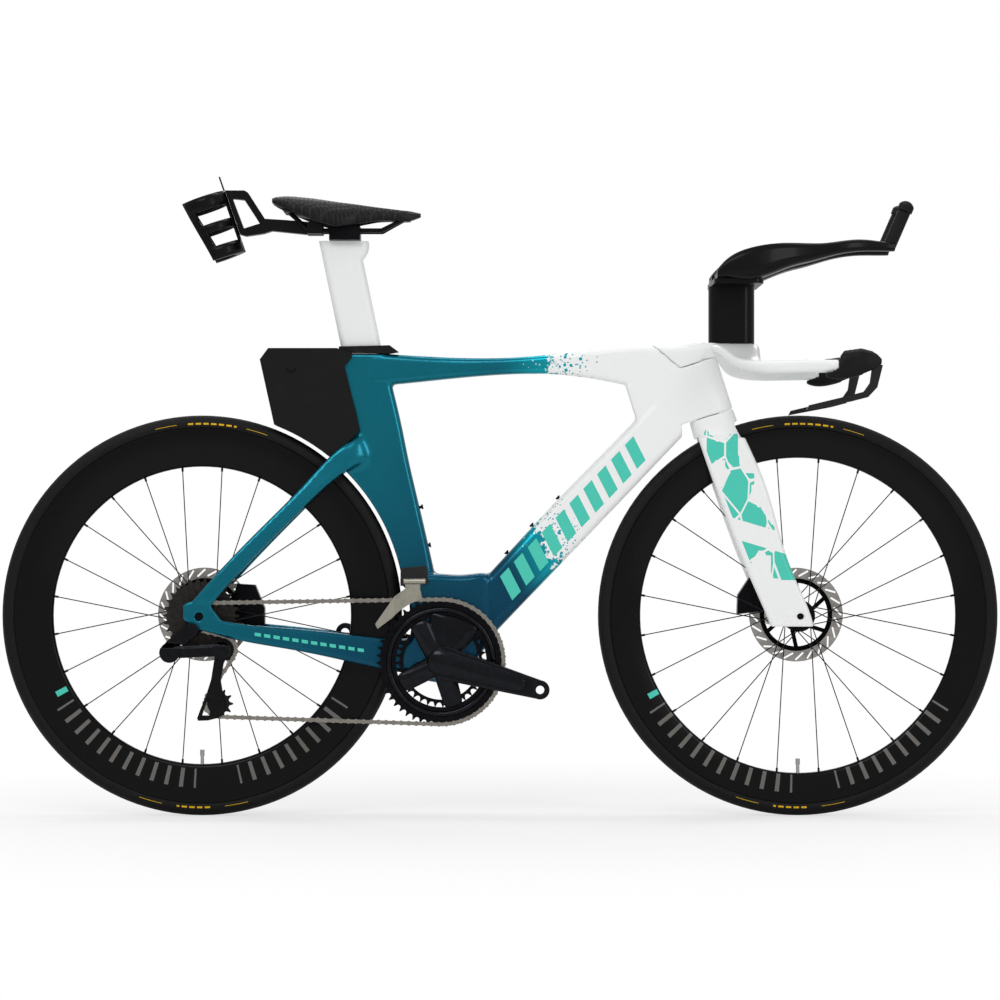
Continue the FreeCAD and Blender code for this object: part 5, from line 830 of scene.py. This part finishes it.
@dataclass
class BlendedSkin:
    """One smooth moulded skin over CAD tubes, with filled inner corners where tubes meet."""

    name: str
    nodes: tuple[str, ...]
    body: str
    material: Material
    voxel: float = 0.0026
    rounds: int = 70
    soft_spots: tuple[Triple, ...] = ()
    slot: str = "frame_paint"
    roof: tuple[Spot, ...] = ()
    roof_places: int = 60
    roof_power: float = 1.5
    ease_rounds: int = 3
    ease_in: float = 0.5
    ease_out: float = 0.46
    fill_from: float = 0.02
    fill_over: float = 0.05
    fill_rate: float = 0.6

    def build(self) -> None:
        """Builds the skin and lets it stand for its nodes."""
        mesh = self._remeshed()
        points = self._filled(read_vertices(mesh), mesh)
        if self.roof:
            points = self._roofed(points)
        mesh.vertices.foreach_set("co", points.ravel())
        mesh.update()
        add_piece(self.name, mesh, self.material, self.body, self.nodes)

    def _roofed(self, points: np.ndarray) -> np.ndarray:
        """Draws the top of the skin to a line of heights and leaves its underside.

        Args:
            points: Vertices of the skin.

        Returns:
            The moved vertices.
        """
        line = np.array(self.roof)
        forward, up = points[:, 0], points[:, 2]
        places = np.linspace(forward.min(), forward.max(), self.roof_places)
        near = [up[np.abs(forward - place) < 2 * self.voxel] for place in places]
        low = np.interp(forward, places, [heights.min() for heights in near])
        high = np.interp(forward, places, [heights.max() for heights in near])
        aim = np.where(forward < line[0, 0], high, np.interp(forward, line[:, 0], line[:, 1]))
        share = np.clip((up - low) / np.maximum(high - low, self.voxel), 0.0, 1.0)
        points[:, 2] += (aim - high) * share ** self.roof_power
        return points

    def _remeshed(self) -> bpy.types.Mesh:
        """Joins the nodes' meshes into one even skin.

        Returns:
            The even mesh.
        """
        solids = [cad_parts[node].data for node in self.nodes]
        points, faces = gathered([(read_vertices(solid), [tuple(face.vertices) for face in solid.polygons])
                                  for solid in solids])
        raw = bpy.data.meshes.new(self.name + "_raw")
        raw.from_pydata(points.tolist(), [], faces)
        carrier = bpy.data.objects.new(self.name + "_raw", raw)
        bpy.context.scene.collection.objects.link(carrier)
        remesh = carrier.modifiers.new("skin", "REMESH")
        remesh.mode = "VOXEL"
        remesh.voxel_size = self.voxel
        found = carrier.evaluated_get(bpy.context.evaluated_depsgraph_get())
        even = bpy.data.meshes.new_from_object(found)
        even.name = self.name
        bpy.data.objects.remove(carrier)
        bpy.data.meshes.remove(raw)
        return even

    def _filled(self, points: np.ndarray, mesh: bpy.types.Mesh) -> np.ndarray:
        """Eases the stair steps and fills inner corners until they are rounded.

        Args:
            points: Vertices of the even mesh.
            mesh: The mesh, for its edges and normals.

        Returns:
            The moved vertices.
        """
        edges = np.empty(len(mesh.edges) * 2, dtype=np.int64)
        mesh.edges.foreach_get("vertices", edges)
        edges = edges.reshape(-1, 2)
        first, second = np.concatenate([edges, edges[:, ::-1]]).T
        count = np.maximum(np.bincount(first, minlength=len(points)), 1)[:, None]
        normals = read_vertices(mesh, "normal")

        def pull(place: np.ndarray) -> np.ndarray:
            """Gives each vertex's way to the middle of its neighbours."""
            sums = [np.bincount(first, weights=place[second, axis], minlength=len(place)) for axis in range(3)]
            return np.stack(sums, axis=1) / count - place

        for _ in range(self.ease_rounds):
            points = points + pull(points) * self.ease_in
            points = points - pull(points) * self.ease_out
        eased = np.zeros(len(points))
        for forward, up, reach in self.soft_spots:
            far = np.hypot(points[:, 0] - forward, points[:, 2] - up) / reach
            eased = np.maximum(eased, np.exp(-far ** 4))
        for _ in range(self.rounds):
            move = pull(points)
            lift = np.einsum("ij,ij->i", move, normals)
            share = np.clip((lift - self.fill_from * self.voxel) / (self.fill_over * self.voxel), 0.0, 1.0)
            points = points + move * np.maximum(share, eased)[:, None] * self.fill_rate
        return points


@dataclass
class Wheel:
    """One wheel: rim, tyre, spokes, hub, rotor and valve."""

    side: str
    tyre: Material
    rim: Material
    rotor: Material
    finishes: Finishes

    def build(self) -> None:
        """Dresses the wheel's nodes."""
        finish_of = {"tyre": self.tyre, "rim": self.rim, "spokes": self.finishes.spokes,
                     "hub": self.finishes.black_alloy, "rotor": self.rotor, "valve": self.finishes.silver}
        for node, material in finish_of.items():
            dress(material, f"{self.side}_{node}")


@dataclass
class Saddle:
    """Short-nosed saddle with a printed skin, its shell, rails and clamp."""

    finishes: Finishes
    wheelbase: float = 1.010
    axle_height: float = 0.339
    half_width: float = 0.068
    wall: float = 0.011
    channel_depth: float = 0.006
    channel_half: float = 0.010
    channel_ends: float = 8.0
    tuck: Spot = (0.35, 1.2)
    crown_power: float = 0.62
    least_inner: float = 0.2
    least_wide: float = 0.012
    skirt: float = 0.001
    softness: float = 0.9
    rows: tuple[tuple[float, float, float, float], ...] = (
        (-0.381, 0.690, 0.702, 0.80), (-0.352, 0.678, 0.7035, 0.97), (-0.312, 0.661, 0.700, 1.0),
        (-0.275, 0.650, 0.695, 0.84), (-0.245, 0.655, 0.692, 0.60), (-0.205, 0.662, 0.687, 0.42),
        (-0.150, 0.663, 0.681, 0.30), (-0.133, 0.668, 0.676, 0.18))
    smoothing: tuple[float, ...] = (1.0, 2.0, 3.0, 2.0, 1.0)
    sections: int = 64
    steps: int = 28

    def build(self) -> None:
        """Builds the padded cover and dresses what carries it."""
        self._cover()
        dress(self.finishes.plastic, "saddle_shell")
        dress(self.finishes.black_alloy, "saddle_rails", "saddle_clamp")

    def _cover(self) -> bpy.types.Object:
        """Builds the cover as one closed skin.

        Returns:
            The cover.
        """
        table = np.array(self.rows)
        places = np.linspace(table[0, 0], table[-1, 0], self.sections)
        kernel = np.array(self.smoothing) / sum(self.smoothing)
        lines = [np.interp(places, table[:, 0], table[:, column]) for column in range(1, 4)]
        smooth = [np.convolve(np.pad(line, len(kernel) // 2, mode="edge"), kernel, mode="valid") for line in lines]
        points = []
        turns = np.linspace(-math.pi / 2, math.pi / 2, self.steps)
        ends = np.minimum(np.arange(self.sections), np.arange(self.sections)[::-1])
        for place, low, high, width, end in zip(places, *smooth, ends):
            tuck = 1.0 - self.tuck[0] * math.exp(-end / self.tuck[1])
            wide = self.half_width * width * tuck
            tall = (high - low) * self.wheelbase
            top = self.axle_height + high * self.wheelbase - (1.0 - tuck) * tall / 2
            across = np.sin(turns) * wide
            drop = (1.0 - np.cos(turns) ** self.crown_power) * tall * tuck
            groove = np.exp(-(across / self.channel_half) ** 2) * min(1.0, end / self.channel_ends)
            height = top - drop - self.channel_depth * groove
            forward = np.full(self.steps, place * self.wheelbase)
            inner = across * max(self.least_inner, 1.0 - self.wall / max(wide, self.least_wide))
            under = np.maximum(height - self.wall, top - drop.max() - self.skirt)
            points.append(np.stack([forward, across, height], axis=1))
            points.append(np.stack([forward, inner, under], axis=1)[::-1])
        shape = np.concatenate(points), tube_faces(self.sections, self.steps * 2)
        return add_piece("saddle_padding", shape, self.finishes.skin, "saddle_post", ["saddle_cover"])


@dataclass
class ArmPads:
    """Two crowned foam pads in the cups of the forearm extensions."""

    finishes: Finishes
    inset: float = 0.0008
    crown: float = 0.004
    steps: int = 40
    across: int = 22
    near: float = 0.012
    fewest: int = 8
    nearest: int = 24
    least_half: float = 0.82
    least_tall: float = 0.55
    end_drop: float = 0.4
    side_power: float = 0.45
    lift_power: float = 0.6
    softness: float = 0.8

    def build(self) -> None:
        """Builds both pads and lets them stand for their node."""
        cloud = read_vertices(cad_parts["arm_pads"].data)
        pads = [self._pad(cloud[cloud[:, 1] < 0], "arm_pad_right"), self._pad(cloud[cloud[:, 1] > 0], "arm_pad_left")]
        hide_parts("arm_pads")

    def _pad(self, cloud: np.ndarray, name: str) -> bpy.types.Object:
        """Builds one pad inside the box of its CAD solid.

        Args:
            cloud: Vertices of the CAD solid.
            name: Name of the pad.

        Returns:
            The pad.
        """
        turns = np.linspace(0.0, 2.0 * math.pi, self.across * 2, endpoint=False)
        side = np.sign(np.cos(turns)) * np.abs(np.cos(turns)) ** self.side_power
        lift = np.sign(np.sin(turns)) * np.abs(np.sin(turns)) ** self.lift_power
        rear, front = cloud[:, 0].min() + self.inset, cloud[:, 0].max() - self.inset
        points = []
        for share in np.linspace(0.0, 1.0, self.steps):
            forward = rear + (front - rear) * share
            away = np.abs(cloud[:, 0] - forward)
            near = cloud[away < self.near]
            if len(near) < self.fewest:
                near = cloud[np.argsort(away)[:self.nearest]]
            left, right = near[:, 1].min() + self.inset, near[:, 1].max() - self.inset
            low, high = near[:, 2].min() + self.inset, near[:, 2].max()
            ease = (1.0 - abs(2.0 * share - 1.0) ** 6) ** 0.5
            wide = (right - left) / 2 * (self.least_half + (1.0 - self.least_half) * ease)
            tall = (high - low) / 2
            height = (low + high) / 2 - tall * (1.0 - ease) * self.end_drop
            height = height + lift * tall * (self.least_tall + (1.0 - self.least_tall) * ease)
            height = height - np.maximum(lift, 0.0) * self.crown * (np.abs(side) ** 3)
            points.append(np.stack([np.full(len(turns), forward), (left + right) / 2 + side * wide, height], axis=1))
        shape = np.concatenate(points), tube_faces(self.steps, self.across * 2)
        return add_piece(name, shape, self.finishes.foam, "steering")


@dataclass
class BottleCage:
    """Rear bottle cage: a spine, three wrapped bands, two slanted front posts, a foot and a hook."""

    finishes: Finishes
    middle: Spot = (-0.48884, 0.99954)
    lean: float = 19.0
    radius: float = 0.0378
    wall: float = 0.0026
    top: float = 0.049
    foot: float = -0.0595
    foot_radius: float = 0.024
    windows: tuple[Spot, ...] = ((0.0014, 0.026), (-0.0378, -0.0134))
    reach: Spot = (112.0, 38.0)
    reach_power: float = 1.2
    spine_half: float = 24.0
    post: float = 21.0
    hook_half: float = 4.0
    hook_span: Spot = (0.045, 0.0745)
    columns: int = 48
    band_rows: int = 4
    post_rows: int = 24
    hook_rows: int = 8

    def build(self) -> None:
        """Builds the cage and lets it stand for its node."""
        levels = [self.foot] + sorted(level for window in self.windows for level in window) + [self.top]
        shapes = []
        for low, high in zip(levels[::2], levels[1::2]):
            heights = np.linspace(low, high, self.band_rows)
            shapes.append(self._band([(up, -self._reach(up), self._reach(up)) for up in heights]))
        heights = np.linspace(self.foot, self.top, self.post_rows)
        shapes.append(self._band([(up, -self.spine_half, self.spine_half) for up in heights]))
        for side in (-1, 1):
            rows = [(up, *sorted((side * self._reach(up), side * (self._reach(up) - self.post)))) for up in heights]
            shapes.append(self._band(rows))
        hook = np.linspace(*self.hook_span, self.hook_rows)
        shapes.append(self._band([(up, -self.hook_half, self.hook_half) for up in hook]))
        shapes.append(self._floor())
        add_piece("bottle_cage_shell", gathered(shapes), self.finishes.carbon, "saddle_post",
                  ["bottle_cage"])

    def _reach(self, up: float) -> float:
        """Finds how many degrees the cage wraps round the bottle at a height."""
        return self.reach[0] + self.reach[1] * ((up - self.foot) / (self.top - self.foot)) ** self.reach_power

    def _place(self, angle: float, radius: float, up: float) -> Triple:
        """Turns cage coordinates into the bike's frame.

        Args:
            angle: Angle from the spine in degrees.
            radius: Distance from the cage's axis.
            up: Height along the cage.

        Returns:
            The place in metres.
        """
        lean, turn = math.radians(self.lean), math.radians(angle)
        back = radius * math.cos(turn)
        return (self.middle[0] + back * math.cos(lean) - up * math.sin(lean), radius * math.sin(turn),
                self.middle[1] + back * math.sin(lean) + up * math.cos(lean))

    def _band(self, rows: Sequence[Triple]) -> Shape:
        """Wraps a band of the cage's wall.

        Args:
            rows: Height, first angle and last angle of each row.

        Returns:
            Vertices and faces.
        """
        points = []
        for up, first, last in rows:
            angles = np.linspace(first, last, self.columns)
            points += [self._place(angle, self.radius + self.wall, up) for angle in angles]
            points += [self._place(angle, self.radius, up) for angle in angles[::-1]]
        return np.array(points), tube_faces(len(rows), 2 * self.columns)

    def _floor(self) -> Shape:
        """Lays the open foot that the bottle stands on.

        Returns:
            Vertices and faces.
        """
        reach, inner, top = self._reach(self.foot), self.foot_radius, self.foot + self.wall
        corners = ((inner, self.foot), (self.radius, self.foot), (self.radius, top), (inner, top))
        points = [self._place(angle, radius, up) for angle in np.linspace(-reach, reach, self.columns)
                  for radius, up in corners]
        return np.array(points), tube_faces(self.columns, len(corners))


@dataclass
class BottleCarrier:
    """Open truss behind the saddle that carries the bottle cage."""

    finishes: Finishes
    truss: tuple[Spot, ...] = (
        (-0.4660, 1.0590), (-0.4330, 1.0590), (-0.4270, 1.0555), (-0.3985, 1.0110), (-0.3600, 1.0087),
        (-0.3000, 1.0036), (-0.3000, 0.9844), (-0.3262, 0.9844), (-0.3860, 0.9905), (-0.4000, 0.9860),
        (-0.4300, 0.9815), (-0.4402, 0.9843))
    window: tuple[Spot, ...] = ((-0.4530, 1.0450), (-0.4330, 1.0430), (-0.4070, 1.0030), (-0.4340, 0.9945))
    clamp: tuple[Spot, ...] = ((-0.3000, 1.0036), (-0.3000, 0.9844), (-0.3262, 0.9844), (-0.3262, 1.0036))
    half: float = 0.011
    clamp_half: float = 0.030

    def build(self) -> None:
        """Builds the carrier and lets it stand for its node."""
        shapes = [cut_plate(self.truss, [self.window], -self.half, self.half),
                  cut_plate(self.clamp, [], -self.clamp_half, self.clamp_half)]
        add_piece("bottle_carrier_truss", gathered(shapes), self.finishes.carbon, "saddle_post",
                  ["bottle_carrier"], False)


@dataclass
class PulleyCage:
    """Rear derailleur's cage: two tapered plates with a teardrop window, and the pulleys' axles."""

    finishes: Finishes
    guide: Spot = (-0.46561, 0.28345)
    guide_radius: float = 0.0039
    guide_proud: float = 0.0003
    tension: Spot = (-0.47337, 0.19308)
    tension_radius: float = 0.0042
    tension_proud: float = 0.0012
    outline: tuple[Spot, ...] = (
        (-0.4530, 0.2845), (-0.4560, 0.2920), (-0.4645, 0.2955), (-0.4735, 0.2920), (-0.4775, 0.2835),
        (-0.4800, 0.2640), (-0.4850, 0.2330), (-0.4935, 0.2060), (-0.5030, 0.1830), (-0.5085, 0.1680),
        (-0.5065, 0.1640), (-0.4900, 0.1645), (-0.4720, 0.1690), (-0.4640, 0.1745), (-0.4615, 0.1850),
        (-0.4650, 0.2050), (-0.4690, 0.2300), (-0.4645, 0.2600), (-0.4565, 0.2740))
    window: tuple[Spot, ...] = (
        (-0.5005, 0.1725), (-0.4965, 0.1850), (-0.4900, 0.2010), (-0.4862, 0.2015), (-0.4860, 0.1850),
        (-0.4880, 0.1725))
    plates: tuple[Spot, Spot] = ((-0.0701, -0.0681), (-0.0589, -0.0569))

    def build(self) -> None:
        """Builds the cage and lets it stand for its node."""
        shapes = [cut_plate(self.outline, [self.window], near, far) for near, far in self.plates]
        (outer, inner), (_, back) = self.plates
        axle = ring_corners(self.tension, self.tension_radius)
        shapes.append(cut_plate(axle, [], outer - self.tension_proud, back))
        axle = ring_corners(self.guide, self.guide_radius)
        shapes.append(cut_plate(axle, [], inner - self.guide_proud, back))
        add_piece("pulley_cage_plates", gathered(shapes), self.finishes.carbon, "rear_cage",
                  ["rear_derailleur_cage"], False)


@dataclass
class Cockpit:
    """Fork, base bar, armrests, grips and brake levers."""

    finishes: Finishes
    hood_line: tuple[Spot, ...] = (
        (0.560, 0.7735), (0.566, 0.7815), (0.594, 0.7848), (0.612, 0.7795), (0.621, 0.7740), (0.6275, 0.7665))

    def build(self) -> None:
        """Builds the moulded skins and dresses the rest."""
        finishes = self.finishes
        BlendedSkin("fork_skin", ("fork",), "steering", finishes.facets, 0.0022, 60).build()
        BlendedSkin("base_bar_skin", ("base_bar",), "steering", finishes.pearl, 0.0018, 70).build()
        ArmPads(finishes).build()
        BlendedSkin("lever_hoods", ("lever_bodies",), "steering", finishes.plastic, 0.0013, 24,
                    slot="satin_black_plastic", roof=self.hood_line).build()
        dress(finishes.carbon, "armrest_riser", "extensions")
        dress(finishes.rubber, "extension_grips", "shift_button_right", "shift_button_left")
        dress(finishes.black_alloy, "front_thru_axle", "front_caliper")
        dress(finishes.gloss, "brake_lever_right", "brake_lever_left")


@dataclass
class Frameset:
    """Frame skin, seatpost, storage box and rear bottle carrier."""

    finishes: Finishes
    tubes: tuple[str, ...] = (
        "head_tube", "top_tube", "down_tube", "seat_tube", "bottom_bracket_shell", "chainstays", "seatstays")
    soft_tips: tuple[Triple, ...] = ((-0.228, 0.618, 0.030), (-0.150, 0.290, 0.024))

    def build(self) -> None:
        """Builds the frame skin and dresses the pieces on it."""
        finishes = self.finishes
        BlendedSkin("frame_skin", self.tubes, "frame", finishes.fade, soft_spots=self.soft_tips).build()
        BottleCarrier(finishes).build()
        BottleCage(finishes).build()
        dress(finishes.pearl, "seatpost")
        dress(finishes.plastic, "seat_clamp_cover")
        dress(finishes.box, "storage_box", "storage_lid")
        dress(finishes.silver, "frame_bearings")
        dress(finishes.black_alloy, "derailleur_hanger", "cage_bolts", "rear_thru_axle", "rear_caliper")


@dataclass
class CrankCover:
    """Moulded outer face of the right crank: broad spider arms, a raised rim and a crowned arm."""

    finishes: Finishes
    axle: Spot = (-0.099, 0.262)
    spider: tuple[Triple, ...] = (
        (72.0, 0.018, 0.046), (120.5, 0.020, 0.016), (208.5, 0.019, 0.016), (286.5, 0.019, 0.016))
    spider_reach: float = 0.079
    spider_face: float = -0.0508
    spider_rise: Spot = (0.012, 0.0028)
    rim: Spot = (0.0835, 0.0925)
    rim_sink: float = 0.0008
    rim_rise: float = 0.0022
    arm_angle: float = -15.5
    arm_span: Spot = (-0.024, 0.149)
    arm_halves: Spot = (0.0225, 0.0120)
    arm_face: Spot = (-0.0638, -0.0726)
    arm_rise: Spot = (0.0052, 0.0014)
    root_depth: float = 0.004
    end_power: int = 14
    least_plan: float = 0.05
    crown_power: float = 2.4
    bar_rings: int = 19
    bar_across: int = 17
    rim_rings: int = 97
    rim_across: int = 9

    def build(self) -> None:
        """Builds the cover over the crank and the outer ring."""
        span, face = (0.0, self.spider_reach), (self.spider_face, self.spider_face)
        shapes = [self._bar(angle, span, (root, tip), face, self.spider_rise) for angle, root, tip in self.spider]
        shapes.append(self._bar(self.arm_angle, self.arm_span, self.arm_halves, self.arm_face, self.arm_rise))
        shapes.append(self._rim())
        add_piece("crank_cover", gathered(shapes), self.finishes.gloss_alloy, "crank")

    def _bar(self, angle: float, span: Spot, halves: Spot, face: Spot, rise: Spot) -> Shape:
        """Makes a tapered bar with a crowned front and rounded ends.

        Args:
            angle: Direction from the axle, in degrees above forward.
            span: Distances of both ends from the axle.
            halves: Half widths at both ends.
            face: Sideways places that the ends stand on.
            rise: Heights of the crown at both ends.

        Returns:
            Vertices and faces.
        """
        forward, up = math.cos(math.radians(angle)), math.sin(math.radians(angle))
        points = []
        for share in np.linspace(0.0, 1.0, self.bar_rings):
            along, half, base, crown = (float(np.interp(share, (0, 1), ends)) for ends in (span, halves, face, rise))
            plan = math.sqrt(max(1.0 - abs(2 * share - 1) ** self.end_power, self.least_plan))
            section = [(side, base - crown * plan * (1 - abs(side) ** self.crown_power))
                       for side in np.linspace(1.0, -1.0, self.bar_across)]
            for side, depth in section + [(-1.0, base + self.root_depth), (1.0, base + self.root_depth)]:
                points.append((self.axle[0] + forward * along - up * half * plan * side, depth,
                               self.axle[1] + up * along + forward * half * plan * side))
        return np.array(points), tube_faces(self.bar_rings, self.bar_across + 2)

    def _rim(self) -> Shape:
        """Makes the raised rim on the outer ring.

        Returns:
            Vertices and faces.
        """
        middle, half = sum(self.rim) / 2, (self.rim[1] - self.rim[0]) / 2
        points = []
        for turn in np.linspace(0.0, 2 * math.pi, self.rim_rings):
            for side in np.linspace(1.0, -1.0, self.rim_across):
                radius = middle + side * half
                depth = self.spider_face + self.rim_sink - self.rim_rise * (1 - side ** 2)
                points.append((self.axle[0] + radius * math.cos(turn), depth, self.axle[1] + radius * math.sin(turn)))
        return np.array(points), tube_faces(self.rim_rings, self.rim_across)


@dataclass
class Drivetrain:
    """Cranks, chainrings, chain, cassette and both derailleurs."""

    finishes: Finishes

    def build(self) -> None:
        """Builds the crank's cover and the pulley cage, and dresses the rest."""
        finishes = self.finishes
        CrankCover(finishes).build()
        PulleyCage(finishes).build()
        dress(finishes.gloss_alloy, "right_crank", "left_crank", "rear_derailleur_base", "rear_derailleur_link",
              "rear_derailleur_knuckle")
        dress(finishes.black_alloy, "chainrings")
        dress(finishes.steel, "chain")
        dress(finishes.cogs, "cassette")
        dress(finishes.gloss, "front_derailleur_body")
        dress(finishes.grey_alloy, "front_derailleur_cage")
        dress(finishes.plastic, "guide_pulley", "tension_pulley")


@dataclass
class Studio:
    """Pale floor, soft lights and the photograph's camera."""

    distance: float = 6.5
    frame_width: float = 1.6965
    eye_height: float = 0.5346
    sensor: float = 36.0
    ambient: float = 0.45
    mirrored: float = 0.35
    floor_reach: float = 12.0
    lights: tuple[tuple[str, Triple, Spot, float], ...] = (
        ("key", (-1.2, -3.4, 3.0), (2.6, 1.2), 46.0), ("front", (2.4, -3.0, 1.6), (1.0, 1.6), 19.0),
        ("top", (0.0, 0.3, 3.4), (3.2, 0.8), 34.0), ("back", (0.0, 3.4, 2.6), (2.6, 1.2), 26.0))

    def build(self) -> None:
        """Builds the floor, the lights and the camera."""
        self._floor()
        self._world()
        for light in self.lights:
            self._light(*light)
        self._camera()
        bpy.context.scene.view_settings.view_transform = "Standard"

    def _world(self) -> None:
        """Lights the scene from all round, with a white that the camera sees in full."""
        world = bpy.data.worlds.new("soft_studio")
        bpy.context.scene.world = world
        world.use_nodes = True
        tree = world.node_tree
        tree.nodes.clear()
        rays = add_node(tree, "ShaderNodeLightPath").outputs
        inputs = {0: rays["Is Glossy Ray"], 1: self.mirrored}
        mirror = add_node(tree, "ShaderNodeMath", inputs, operation="MULTIPLY").outputs[0]
        inputs = {0: rays["Is Camera Ray"], 1: mirror}
        seen = add_node(tree, "ShaderNodeMath", inputs, operation="MAXIMUM").outputs[0]
        inputs = {"Value": seen, "To Min": self.ambient, "To Max": 1.0}
        power = add_node(tree, "ShaderNodeMapRange", inputs).outputs[0]
        glow = add_node(tree, "ShaderNodeBackground", {"Color": WHITE, "Strength": power}).outputs[0]
        add_node(tree, "ShaderNodeOutputWorld", {"Surface": glow})

    def _floor(self) -> None:
        """Lays the floor."""
        mesh = bpy.data.meshes.new("floor")
        reach = self.floor_reach
        corners = [(-reach, -reach, 0), (reach, -reach, 0), (reach, reach, 0), (-reach, reach, 0)]
        mesh.from_pydata(corners, [], [(0, 1, 2, 3)])
        mesh.materials.append(Floor().build())
        floor = bpy.data.objects.new("floor", mesh)
        bpy.context.scene.collection.objects.link(floor)

    def _light(self, name: str, place: Triple, size: Spot, power: float) -> None:
        """Hangs one soft light that points at the bike's middle.

        Args:
            name: Name of the light.
            place: Where it hangs.
            size: Width and height.
            power: Power in watts.
        """
        data = bpy.data.lights.new(name, "AREA")
        data.shape = "RECTANGLE"
        data.size, data.size_y = size
        data.energy = power
        light = bpy.data.objects.new(name, data)
        light.location = place
        aim = Vector((0.0, 0.0, self.eye_height)) - Vector(place)
        light.rotation_euler = aim.to_track_quat("-Z", "Y").to_euler()
        bpy.context.scene.collection.objects.link(light)

    def _camera(self) -> None:
        """Sets up the camera square to the drive side."""
        data = bpy.data.cameras.new("photo_view")
        data.sensor_width = self.sensor
        data.lens = self.sensor * self.distance / self.frame_width
        camera = bpy.data.objects.new("photo_view", data)
        camera.location = (0.0, -self.distance, self.eye_height)
        camera.rotation_euler = (math.pi / 2, 0.0, 0.0)
        bpy.context.scene.collection.objects.link(camera)
        bpy.context.scene.camera = camera


def main() -> None:
    """Builds the bike's looks piece by piece."""
    finishes = Finishes()
    front = Wheel("front", finishes.front_tyre, finishes.front_rim, finishes.front_rotor, finishes)
    rear = Wheel("rear", finishes.rear_tyre, finishes.rear_rim, finishes.rear_rotor, finishes)
    for part in (Frameset(finishes), Cockpit(finishes), Saddle(finishes), front, rear, Drivetrain(finishes), Studio()):
        LOG.info("building %s", type(part).__name__)
        part.build()


if __name__ == "__main__":
    main()
